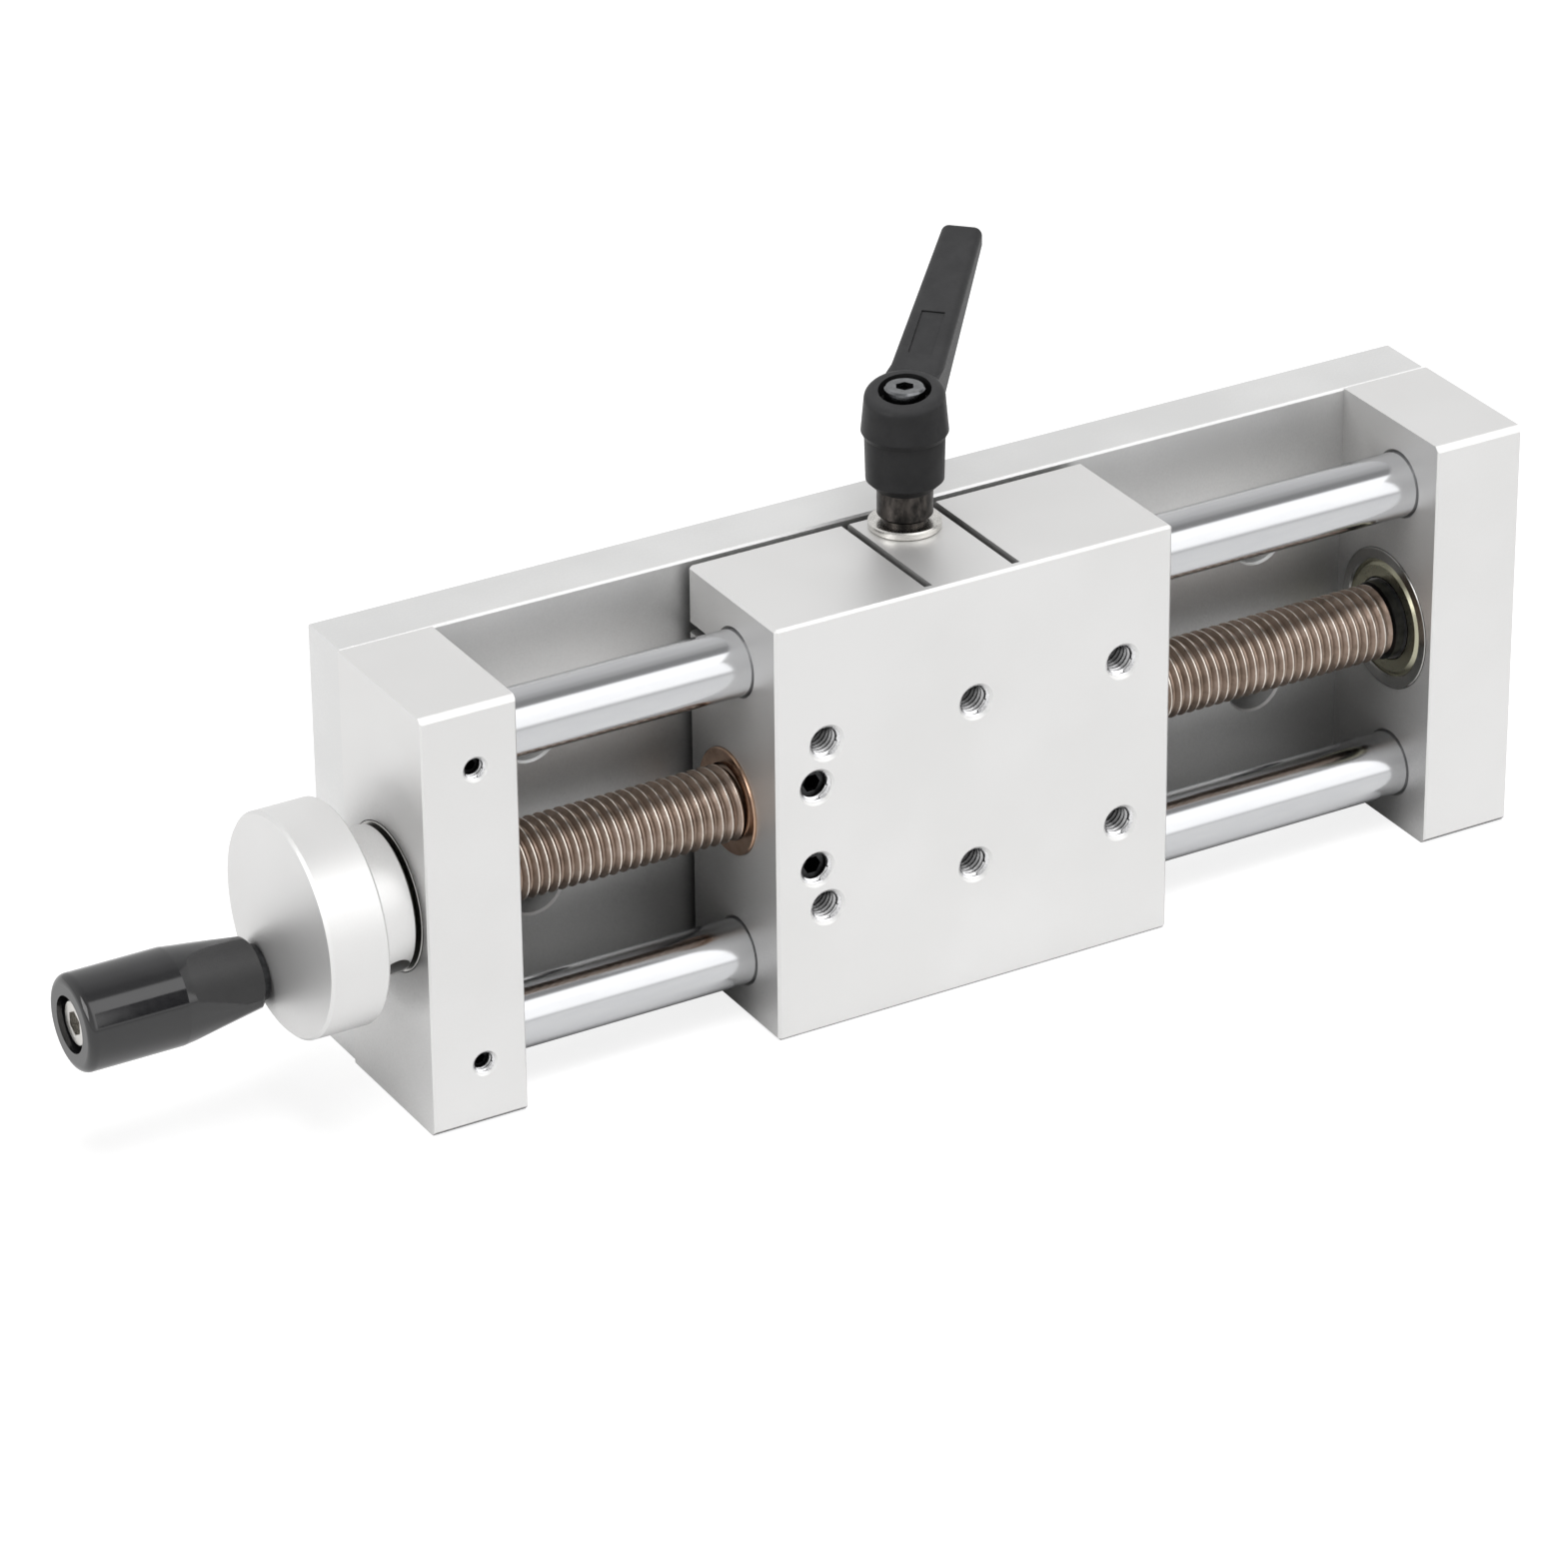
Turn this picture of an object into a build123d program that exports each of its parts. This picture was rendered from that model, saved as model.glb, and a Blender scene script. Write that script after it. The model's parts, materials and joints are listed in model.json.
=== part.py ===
from build123d import *
import math
import os

# Manual linear stage: an end-block frame on a base plate, two guide shafts, a handwheel-driven
# lead screw and a square carriage with a lever clamp.
# Millimetres. X runs along the travel, handwheel at the -X end. Y points out of the mounting
# face, so the carriage faces -Y. Z is up with the stage on its long side.
# The origin is the centre of the base plate's mounting face.

# Frame
stage_length = 222.0
stage_height = 80.0
plate_thickness = 12.0
plate_end_inset = 0.5
plate_edge_chamfer = 0.4
block_thickness = 18.0
block_depth = 30.0
block_edge_chamfer = 1.0
block_side_chamfer = 0.3

# Holes that fix the stage to a machine
mount_hole_pitch_x = 150.0
mount_hole_pitch_z = 30.0
mount_hole_d = 6.6
mount_counterbore_d = 11.0
mount_counterbore_depth = 6.5
mount_counterbore_chamfer = 0.4

# Screws from the back of the plate into the end blocks
plate_screw_pitch_z = 40.0
plate_screw_d = 6.0
plate_screw_head_d = 10.0
plate_screw_head_height = 6.0
plate_screw_length = 18.0
plate_screw_socket = 5.0
plate_screw_head_gap = 0.5

# Guide shafts
shaft_d = 12.0
shaft_pitch_z = 56.5
shaft_from_front = 12.0
shaft_seat_depth = 14.0
shaft_end_chamfer = 0.6
shaft_flat_depth = 0.3
shaft_flat_length = 6.0
bore_mouth_chamfer = 0.4

# Grub screws that lock the shafts in the handwheel-side block
shaft_grub_d = 4.0
shaft_grub_length = 4.0
shaft_grub_from_end = 10.0
shaft_grub_socket = 2.0
shaft_grub_sink_d = 4.8

# Lead screw, right hand
screw_d = 14.0
screw_from_front = 15.0
screw_thread_chamfer = 0.8
journal_d = 12.0
hub_journal_d = 10.0
hub_journal_length = 16.0
journal_end_length = 2.4

# Flanged ball bearings
bearing_bore = 12.0
bearing_od = 24.0
bearing_width = 6.0
bearing_flange_d = 26.5
bearing_flange_thickness = 1.2
bearing_flange_gap = 0.15
bearing_edge_chamfer = 0.15
bearing_proud = 0.2
inner_ring_od = 15.2
outer_ring_bore = 20.8
ball_d = 3.2
ball_count = 10
cage_width = 4.4
cage_radial = 0.9
shield_thickness = 0.3
shield_sink = 0.05
shield_face_d = 20.0
shield_lip_sink = 0.6
shield_lip_d = 22.0
shield_lip_width = 0.3
shield_gap = 0.25

# Spacers and retaining ring on the screw
spacer_length = 2.0
spacer_od = 14.4
ring_thickness = 1.0
ring_radial = 1.6
ring_groove_depth = 0.5
ring_opening = 5.0

# Handwheel
wheel_d = 40.0
wheel_thickness = 11.0
wheel_edge_chamfer = 0.5
hub_d = 26.0
hub_length = 8.4
hub_gap = 1.0
hub_boss_d = 14.6
hub_grub_d = 5.0
hub_grub_length = 6.0
hub_grub_from_end = 2.8
hub_grub_angle = 217.7
hub_grub_socket = 2.5

# Revolving grip, on a sleeve held by a socket screw
grip_radius = 16.0
grip_angle = -55.2
grip_length = 33.8
grip_d = 17.4
grip_wheel_end_d = 13.6
grip_straight_length = 18.5
grip_outer_round = 1.6
grip_wheel_round = 1.4
grip_facets = 3
grip_facet_start = 19.8
grip_facet_turn = 20.0
grip_facet_in = 0.9
grip_facet_radius = 9.0
grip_recess_d = 10.2
grip_recess_depth = 5.6
grip_bolt_d = 5.0
grip_bolt_head_d = 8.5
grip_bolt_head_height = 4.6
grip_bolt_socket = 4.0
grip_bolt_grip = 8.0
sleeve_d = 7.2
sleeve_flange_d = 10.0
sleeve_flange_thickness = 1.4

# Carriage
carriage_length = 80.0
carriage_height = 80.0
carriage_thickness = 30.0
carriage_plate_gap = 1.8
carriage_rest_x = -4.3
carriage_chamfer = 0.5

# Tapped holes in the carriage face: three columns in two rows
face_hole_d = 6.0
face_hole_depth = 14.0
face_hole_sink_d = 7.0
face_pitch_x = 30.0
face_pitch_z = 32.0

# Lead nut and the two grub screws that lock it
nut_d = 18.0
nut_length = 28.0
nut_flange_d = 19.5
nut_flange_thickness = 1.0
nut_flange_proud = 0.5
nut_flange_chamfer = 0.2
nut_grub_from_side = 8.0
nut_grub_pitch_z = 16.0
nut_grub_d = 6.0
nut_grub_length = 8.0
nut_grub_socket = 3.0

# Clamp tab over the upper shaft
tab_width = 16.0
slot_width = 1.6
slot_front_wall = 1.5
slit_width = 2.0
clamp_shaft_gap = 1.2
clamp_hole_d = 6.6
clamp_thread_d = 6.0
clamp_thread_depth = 14.0
washer_od = 13.0
washer_thickness = 1.5

# Clamping lever
insert_gap = 0.8
insert_d = 9.9
insert_neck_d = 8.0
insert_collar_length = 9.6
insert_chamfer = 0.5
tooth_count = 18
tooth_outer_d = 9.4
tooth_depth = 0.7
tooth_length = 3.0
tooth_clearance = 0.1
lever_base_gap = 5.3
lever_base_d = 13.8
lever_lower_d = 14.2
lever_lower_height = 10.0
lever_lower_chamfer = 1.8
lever_upper_d = 15.4
lever_upper_height = 8.5
lever_top_d = 14.0
lever_top_slope = 10.5
lever_top_round = 1.4
lever_step_height = 0.9
lever_web = 1.5
lever_recess_d = 9.3
lever_recess_depth = 2.4
lever_spring_bore_d = 8.0
arm_angle = 45.6
arm_reach = 44.0
arm_rise = 12.6
arm_root_width = 9.9
arm_tip_width = 7.4
arm_root_height = 8.2
arm_tip_height = 4.7
arm_edge_round = 1.5
arm_tip_round = 0.8
panel_start = 11.5
panel_length = 11.0
panel_width = 4.2
panel_depth = 0.25
lever_screw_d = 4.0
lever_screw_head_d = 7.2
lever_screw_head_height = 4.0
lever_screw_head_proud = 0.6
lever_screw_socket = 3.0
lever_screw_bite = 7.0
spring_wire_d = 0.7
spring_turns = 3
spring_wire_sides = 6

# Clearances
seat_clearance = 0.02
thread_clearance = 0.05
running_clearance = 0.04
pass_clearance = 0.8
shaft_bottom_gap = 0.2

# Places worked out from the sizes above
half_length = stage_length / 2
half_height = stage_height / 2
plate_front_y = -plate_thickness
block_front_y = plate_front_y - block_depth
screw_y = block_front_y + screw_from_front
shaft_y = block_front_y + shaft_from_front
shaft_z = shaft_pitch_z / 2
shaft_zs = (shaft_z, -shaft_z)
left_outer_x = -half_length
left_inner_x = -half_length + block_thickness
right_inner_x = half_length - block_thickness
left_bearing_x = left_outer_x - bearing_proud
right_bearing_x = right_inner_x - bearing_proud
bearing_seat_depth = bearing_width - bearing_proud
flange_sink = bearing_flange_thickness - bearing_proud
pitch_r = (inner_ring_od + outer_ring_bore) / 4
left_spacer_x = left_bearing_x + bearing_width
right_spacer_x = right_bearing_x - spacer_length
thread_start_x = left_spacer_x + spacer_length
thread_end_x = right_spacer_x
ring_x = right_bearing_x + bearing_width + seat_clearance
screw_right_x = ring_x + ring_thickness + journal_end_length
hub_right_x = left_outer_x - hub_gap
hub_left_x = hub_right_x - hub_length
wheel_left_x = hub_left_x - wheel_thickness
hub_journal_left_x = hub_right_x - hub_journal_length
journal_left_x = left_bearing_x + seat_clearance * 5
sleeve_right_x = wheel_left_x
grip_right_x = sleeve_right_x - sleeve_flange_thickness - running_clearance
grip_left_x = grip_right_x - grip_length
grip_floor_x = grip_left_x + grip_recess_depth
bolt_head_x = grip_floor_x - running_clearance
grip_y = screw_y + grip_radius * math.cos(math.radians(grip_angle))
grip_z = grip_radius * math.sin(math.radians(grip_angle))
carriage_back_y = plate_front_y - carriage_plate_gap
carriage_front_y = carriage_back_y - carriage_thickness
carriage_left_x = carriage_rest_x - carriage_length / 2
carriage_right_x = carriage_rest_x + carriage_length / 2
carriage_top_z = carriage_height / 2
clamp_y = shaft_y + shaft_d / 2 + clamp_shaft_gap + clamp_thread_d / 2
slit_top_z = shaft_z + slit_width / 2
slit_bottom_z = shaft_z - slit_width / 2
stud_bottom_z = slit_bottom_z - clamp_thread_depth
washer_top_z = carriage_top_z + washer_thickness
insert_bottom_z = washer_top_z + insert_gap
tooth_bottom_z = insert_bottom_z + insert_collar_length
tooth_top_z = tooth_bottom_z + tooth_length
lever_base_z = insert_bottom_z + lever_base_gap
lever_step_z = lever_base_z + lever_lower_height
lever_top_z = lever_step_z + lever_upper_height
lever_rim_z = lever_top_z + lever_upper_d / 2 * math.tan(math.radians(lever_top_slope))
web_top_z = tooth_top_z + lever_web
recess_floor_z = lever_top_z - lever_recess_depth
lever_head_z = lever_top_z + lever_screw_head_proud - lever_screw_head_height


def x_cylinder(diameter, x_from, x_to, y, z):
    """A round bar along X between two stations."""
    bar = Cylinder(diameter / 2, x_to - x_from, rotation=(0, 90, 0))
    return Pos((x_from + x_to) / 2, y, z) * bar


def y_cylinder(diameter, y_from, y_to, x, z):
    """A round bar along Y between two stations."""
    bar = Cylinder(diameter / 2, y_to - y_from, rotation=(90, 0, 0))
    return Pos(x, (y_from + y_to) / 2, z) * bar


def z_cylinder(diameter, z_from, z_to, x, y):
    """A round bar along Z between two stations."""
    return Pos(x, y, (z_from + z_to) / 2) * Cylinder(diameter / 2, z_to - z_from)


def block(x_from, x_to, y_from, y_to, z_from, z_to):
    """A rectangular block between two corners."""
    centre = ((x_from + x_to) / 2, (y_from + y_to) / 2, (z_from + z_to) / 2)
    return Pos(*centre) * Box(x_to - x_from, y_to - y_from, z_to - z_from)


def turned_x(profile, y, z):
    """Revolve (x, r) points about an X axis through (y, z)."""
    face = make_face(Polyline(*[(x, r) for x, r in profile], close=True))
    return Pos(0, y, z) * revolve(face, axis=Axis.X)


def turned_z(profile, x, y):
    """Revolve (r, z) points about a Z axis through (x, y)."""
    face = Plane.XZ * make_face(Polyline(*[(r, z) for r, z in profile], close=True))
    return Pos(x, y, 0) * revolve(face, axis=Axis.Z)


def countersink_y(face_y, mouth_d, hole_d, x, z):
    """A 90 degree countersink cut into a face that looks along -Y."""
    depth = (mouth_d - hole_d) / 2
    cone = Cone(mouth_d / 2, hole_d / 2, depth, rotation=(-90, 0, 0))
    return Pos(x, face_y + depth / 2, z) * cone


def bore_mouth_x(face_x, diameter, chamfer_size, side, y, z):
    """The chamfer at the mouth of an X bore; side is +1 where the bore runs towards +X."""
    profile = [
        (face_x, 0),
        (face_x, diameter / 2 + chamfer_size),
        (face_x + side * chamfer_size, diameter / 2),
        (face_x + side * chamfer_size, 0),
    ]
    return turned_x(profile, y, z)


def grub_screw(diameter, length, socket):
    """A socket set screw along +Z with its hexagon socket at z = 0 and its tip at -length."""
    edge = diameter / 12
    body = turned_z(
        [
            (0, 0),
            (diameter / 2 - edge, 0),
            (diameter / 2, -edge),
            (diameter / 2, -length + 2 * edge),
            (diameter / 2 - 2 * edge, -length),
            (0, -length),
        ],
        0,
        0,
    )
    hexagon = extrude(RegularPolygon(socket / 2, 6, major_radius=False), -length / 2)
    return body - hexagon


def cap_screw(diameter, length, head_d, head_height, socket):
    """A socket head screw along Z: head above z = 0 and shank down to -length."""
    edge = head_height / 12
    body = turned_z(
        [
            (0, head_height),
            (head_d / 2 - edge, head_height),
            (head_d / 2, head_height - edge),
            (head_d / 2, 0),
            (diameter / 2, 0),
            (diameter / 2, -length + edge),
            (diameter / 2 - edge, -length),
            (0, -length),
        ],
        0,
        0,
    )
    hexagon = RegularPolygon(socket / 2, 6, major_radius=False)
    return body - Pos(0, 0, head_height) * extrude(hexagon, -head_height * 0.6)


def along_x(solid, x, y, z, towards=1):
    """Turn a piece built along +Z so that its +Z points along +X or -X."""
    return Pos(x, y, z) * Rot(0, 90 * towards, 0) * solid


def along_y(solid, x, y, z, towards=1):
    """Turn a piece built along +Z so that its +Z points along +Y or -Y."""
    return Pos(x, y, z) * Rot(-90 * towards, 0, 0) * solid


def long_edges(solid, axis):
    """The straight edges of a block that run along one axis."""
    return solid.edges().filter_by(axis)


def base_plate():
    """The long plate behind the end blocks, with its mounting and assembly holes."""
    left = -half_length + plate_end_inset
    plate = block(left, -left, plate_front_y, 0, -half_height, half_height)
    plate = chamfer(long_edges(plate, Axis.X), plate_edge_chamfer)
    for x in (-mount_hole_pitch_x / 2, mount_hole_pitch_x / 2):
        for z in (-mount_hole_pitch_z / 2, mount_hole_pitch_z / 2):
            plate -= y_cylinder(mount_hole_d, plate_front_y, 0, x, z)
            sink_y = plate_front_y + mount_counterbore_depth
            plate -= y_cylinder(mount_counterbore_d, plate_front_y, sink_y, x, z)
            mouth_d = mount_counterbore_d + 2 * mount_counterbore_chamfer
            plate -= countersink_y(plate_front_y, mouth_d, mount_counterbore_d, x, z)
    for x, z in plate_screw_places():
        shank_hole_d = plate_screw_d + 2 * thread_clearance
        plate -= y_cylinder(shank_hole_d, plate_front_y, 0, x, z)
        head_hole_d = plate_screw_head_d + 2 * thread_clearance
        plate -= y_cylinder(head_hole_d, -plate_screw_sink(), 0, x, z)
    return plate


def plate_screw_sink():
    """Depth of the head counterbore, a little more than the head."""
    return plate_screw_head_height + plate_screw_head_gap


def plate_screw_places():
    """X and Z of the screws that hold the end blocks on the plate."""
    xs = (left_outer_x + block_thickness / 2, right_inner_x + block_thickness / 2)
    zs = (-plate_screw_pitch_z / 2, plate_screw_pitch_z / 2)
    return [(x, z) for x in xs for z in zs]


def plate_screws():
    """Socket head screws from the mounting face into the end blocks."""
    solids = []
    for x, z in plate_screw_places():
        screw = cap_screw(
            plate_screw_d,
            plate_screw_length,
            plate_screw_head_d,
            plate_screw_head_height,
            plate_screw_socket,
        )
        solids.append(along_y(screw, x, -plate_screw_sink(), z))
    return Compound(children=solids)


def plain_end_block(x_from):
    """An end block with its chamfered edges and the tapped holes for the plate screws."""
    body = block(
        x_from,
        x_from + block_thickness,
        block_front_y,
        plate_front_y,
        -half_height,
        half_height,
    )
    front_edges = long_edges(body, Axis.X).group_by(Axis.Y)[0]
    body = chamfer(front_edges, block_edge_chamfer)
    front_sides = long_edges(body, Axis.Z).group_by(Axis.Y)[0]
    body = chamfer(front_sides, block_side_chamfer)
    hole_end_y = -plate_screw_sink() - plate_screw_length - pass_clearance
    for x, z in plate_screw_places():
        if x_from < x < x_from + block_thickness:
            tap_d = plate_screw_d + 2 * thread_clearance
            body -= y_cylinder(tap_d, hole_end_y, plate_front_y, x, z)
    return body


def shaft_seats(inner_x, side):
    """The blind bores that hold the guide shafts; side is +1 where they run towards +X."""
    cut = []
    for z in shaft_zs:
        ends = sorted((inner_x, inner_x + side * shaft_seat_depth))
        seat_d = shaft_d + 2 * seat_clearance
        cut.append(x_cylinder(seat_d, ends[0], ends[1], shaft_y, z))
        cut.append(bore_mouth_x(inner_x, seat_d, bore_mouth_chamfer, side, shaft_y, z))
    return cut


def bearing_seat(face_x):
    """The stepped seat of a flanged bearing that is pressed in from its -X face."""
    seat_d = bearing_od + 2 * seat_clearance
    recess_d = bearing_flange_d + 2 * bearing_flange_gap
    return [
        x_cylinder(seat_d, face_x, face_x + bearing_seat_depth, screw_y, 0),
        x_cylinder(recess_d, face_x, face_x + flange_sink, screw_y, 0),
    ]


def left_block():
    """Handwheel-side end block: bearing in its outer face, shafts locked by grub screws."""
    body = plain_end_block(left_outer_x)
    body -= bearing_seat(left_outer_x)
    screw_way_d = screw_d + 2 * pass_clearance
    body -= x_cylinder(screw_way_d, left_outer_x, left_inner_x, screw_y, 0)
    body -= shaft_seats(left_inner_x, -1)
    x = left_outer_x + shaft_grub_from_end
    for z in shaft_zs:
        hole_d = shaft_grub_d + 2 * thread_clearance
        body -= y_cylinder(hole_d, block_front_y, shaft_y, x, z)
        body -= countersink_y(block_front_y, shaft_grub_sink_d, hole_d, x, z)
    return body


def right_block():
    """Far end block: bearing in its inner face and a blind pocket for the journal end."""
    body = plain_end_block(right_inner_x)
    body -= bearing_seat(right_inner_x)
    pocket_d = journal_d + 2 * ring_radial + 2 * pass_clearance
    pocket_end_x = screw_right_x + pass_clearance
    body -= x_cylinder(pocket_d, right_inner_x, pocket_end_x, screw_y, 0)
    body -= shaft_seats(right_inner_x, 1)
    return body


def shaft_flat_y():
    """Y of the small flat on the shaft where its grub screw bears."""
    return shaft_y - shaft_d / 2 + shaft_flat_depth


def guide_shaft(z):
    """A ground shaft between the two blind seats, with a grub screw flat at its left end."""
    reach = shaft_seat_depth - shaft_bottom_gap
    left = left_inner_x - reach
    right = right_inner_x + reach
    shaft = x_cylinder(shaft_d, left, right, shaft_y, z)
    shaft = chamfer(shaft.edges().filter_by(GeomType.CIRCLE), shaft_end_chamfer)
    flat_x = left_outer_x + shaft_grub_from_end
    return shaft - block(
        flat_x - shaft_flat_length / 2,
        flat_x + shaft_flat_length / 2,
        shaft_y - shaft_d,
        shaft_flat_y(),
        z - shaft_d / 2,
        z + shaft_d / 2,
    )


def shaft_grub_screws():
    """The two set screws whose tips bear on the shaft flats."""
    x = left_outer_x + shaft_grub_from_end
    head_y = shaft_flat_y() - shaft_grub_length
    screw = grub_screw(shaft_grub_d, shaft_grub_length, shaft_grub_socket)
    return Compound(children=[along_y(screw, x, head_y, z, -1) for z in shaft_zs])


def ring_groove(x_middle):
    """The torus that the balls run in, a little larger than the balls."""
    groove = Torus(pitch_r, ball_d / 2 + running_clearance, rotation=(0, 90, 0))
    return Pos(x_middle, screw_y, 0) * groove


def outer_ring(x):
    """Flanged outer ring of a bearing whose flange face is at x."""
    step_r = shield_lip_d / 2
    step = shield_lip_sink + shield_thickness
    inner = outer_ring_bore / 2
    flange_r = bearing_flange_d / 2
    edge = bearing_edge_chamfer
    back = x + bearing_width
    ring = turned_x(
        [
            (x + 2 * edge, step_r),
            (x, step_r + 2 * edge),
            (x, flange_r - edge),
            (x + edge, flange_r),
            (x + bearing_flange_thickness, flange_r),
            (x + bearing_flange_thickness, bearing_od / 2),
            (back - edge, bearing_od / 2),
            (back, bearing_od / 2 - edge),
            (back, step_r + 2 * edge),
            (back - 2 * edge, step_r),
            (back - step, step_r),
            (back - step, inner),
            (x + step, inner),
            (x + step, step_r),
        ],
        screw_y,
        0,
    )
    return ring - ring_groove(x + bearing_width / 2)


def inner_ring(x):
    """Inner ring of a bearing whose flange face is at x."""
    bore_r = bearing_bore / 2 + seat_clearance
    ring = turned_x(
        [
            (x, bore_r),
            (x, inner_ring_od / 2),
            (x + bearing_width, inner_ring_od / 2),
            (x + bearing_width, bore_r),
        ],
        screw_y,
        0,
    )
    return ring - ring_groove(x + bearing_width / 2)


def ball_places(x):
    """Centres of the balls of a bearing whose flange face is at x."""
    places = []
    for index in range(ball_count):
        angle = 2 * math.pi * index / ball_count
        y = screw_y + pitch_r * math.cos(angle)
        places.append((x + bearing_width / 2, y, pitch_r * math.sin(angle)))
    return places


def bearing_balls(x):
    """The ball set of one bearing."""
    return Compound(children=[Pos(*place) * Sphere(ball_d / 2) for place in ball_places(x)])


def bearing_cage(x):
    """The ring with one round pocket for each ball."""
    middle = x + bearing_width / 2
    ring = turned_x(
        [
            (middle - cage_width / 2, pitch_r - cage_radial / 2),
            (middle - cage_width / 2, pitch_r + cage_radial / 2),
            (middle + cage_width / 2, pitch_r + cage_radial / 2),
            (middle + cage_width / 2, pitch_r - cage_radial / 2),
        ],
        screw_y,
        0,
    )
    pocket_d = ball_d + 4 * running_clearance
    length = pitch_r * 2
    for index in range(ball_count):
        angle = 360 * index / ball_count
        pocket = Pos(0, pitch_r, 0) * Cylinder(pocket_d / 2, length, rotation=(90, 0, 0))
        ring -= Pos(middle, screw_y, 0) * Rot(angle, 0, 0) * pocket
    return ring


def shield(face_x, side):
    """A dished shield: a flat face, then a slope down to the lip that sits in the outer ring.

    side is +1 where the shield lies on the +X side of face_x.
    """
    inner = inner_ring_od / 2 + shield_gap
    outer = shield_lip_d / 2 - seat_clearance
    face_r = shield_face_d / 2
    lip_r = outer - shield_lip_width
    front = face_x + side * shield_sink
    back = front + side * shield_thickness
    lip_front = face_x + side * shield_lip_sink
    lip_back = lip_front + side * (shield_thickness - seat_clearance)
    return turned_x(
        [
            (front, inner),
            (front, face_r),
            (lip_front, lip_r),
            (lip_front, outer),
            (lip_back, outer),
            (lip_back, lip_r - shield_gap / 2),
            (back, face_r - shield_gap),
            (back, inner),
        ],
        screw_y,
        0,
    )


def bearing_shields(x):
    """The two shields of a bearing whose flange face is at x."""
    return Compound(children=[shield(x, 1), shield(x + bearing_width, -1)])


def spacer(x):
    """The black distance ring between a thread end and a bearing's inner ring."""
    bore_r = journal_d / 2 + seat_clearance
    return turned_x(
        [
            (x, bore_r),
            (x, spacer_od / 2),
            (x + spacer_length, spacer_od / 2),
            (x + spacer_length, bore_r),
        ],
        screw_y,
        0,
    )


def lead_screw():
    """Lead screw: journals at both ends, the threaded length as a cylinder at its crest."""
    thread_r = screw_d / 2
    end_r = thread_r - screw_thread_chamfer
    journal_r = journal_d / 2
    groove_r = journal_r - ring_groove_depth
    groove_right_x = ring_x + ring_thickness
    screw = turned_x(
        [
            (hub_journal_left_x, 0),
            (hub_journal_left_x, hub_journal_d / 2),
            (journal_left_x, hub_journal_d / 2),
            (journal_left_x, journal_r),
            (thread_start_x, journal_r),
            (thread_start_x, end_r),
            (thread_start_x + screw_thread_chamfer, thread_r),
            (thread_end_x - screw_thread_chamfer, thread_r),
            (thread_end_x, end_r),
            (thread_end_x, journal_r),
            (ring_x, journal_r),
            (ring_x, groove_r),
            (groove_right_x, groove_r),
            (groove_right_x, journal_r),
            (screw_right_x, journal_r),
            (screw_right_x, 0),
        ],
        screw_y,
        0,
    )
    flat_middle_x = hub_right_x - hub_grub_from_end
    flat = block(
        flat_middle_x - hub_grub_d / 2,
        flat_middle_x + hub_grub_d / 2,
        hub_flat_r(),
        hub_journal_d,
        -hub_journal_d / 2,
        hub_journal_d / 2,
    )
    return screw - Pos(0, screw_y, 0) * Rot(hub_grub_angle, 0, 0) * flat


def hub_flat_r():
    """Distance of the grub screw flat from the screw's axis."""
    return hub_journal_d / 2 - shaft_flat_depth


def retaining_ring():
    """Open ring in the groove behind the far bearing."""
    inner = journal_d / 2 - ring_groove_depth + seat_clearance
    outer = inner + ring_radial
    left = ring_x + seat_clearance
    right = ring_x + ring_thickness - seat_clearance
    ring = turned_x(
        [(left, inner), (left, outer), (right, outer), (right, inner)], screw_y, 0
    )
    return ring - block(
        left, right, screw_y - ring_opening / 2, screw_y + ring_opening / 2, -outer, 0
    )


def handwheel():
    """Turned wheel with its hub, a blind bore, a radial grub hole and the grip's tapped hole."""
    wheel = x_cylinder(wheel_d, wheel_left_x, hub_left_x, screw_y, 0)
    wheel = chamfer(wheel.edges().filter_by(GeomType.CIRCLE), wheel_edge_chamfer)
    hub = x_cylinder(hub_d, hub_left_x, hub_right_x, screw_y, 0)
    hub = chamfer(hub.edges().filter_by(GeomType.CIRCLE).sort_by(Axis.X)[-1], block_side_chamfer)
    boss = x_cylinder(hub_boss_d, hub_left_x, left_bearing_x, screw_y, 0)
    body = wheel + hub + boss
    bore_d = hub_journal_d + 2 * seat_clearance
    journal_way_d = journal_d + 2 * thread_clearance
    body -= x_cylinder(bore_d, hub_journal_left_x - pass_clearance, left_bearing_x, screw_y, 0)
    body -= x_cylinder(journal_way_d, hub_right_x, left_bearing_x, screw_y, 0)
    radial = Cylinder(hub_grub_d / 2 + thread_clearance, hub_d, rotation=(90, 0, 0))
    radial = Pos(hub_right_x - hub_grub_from_end, hub_d / 2, 0) * radial
    body -= Pos(0, screw_y, 0) * Rot(hub_grub_angle, 0, 0) * radial
    tap_d = grip_bolt_d + 2 * thread_clearance
    tap_end_x = wheel_left_x + grip_bolt_grip + pass_clearance
    body -= x_cylinder(tap_d, wheel_left_x, tap_end_x, grip_y, grip_z)
    return body


def hub_grub_screw():
    """The set screw in the hub, its tip on the journal's flat."""
    screw = grub_screw(hub_grub_d, hub_grub_length, hub_grub_socket)
    x = hub_right_x - hub_grub_from_end
    placed = along_y(screw, x, hub_flat_r() + hub_grub_length, 0)
    return Pos(0, screw_y, 0) * Rot(hub_grub_angle, 0, 0) * placed


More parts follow.
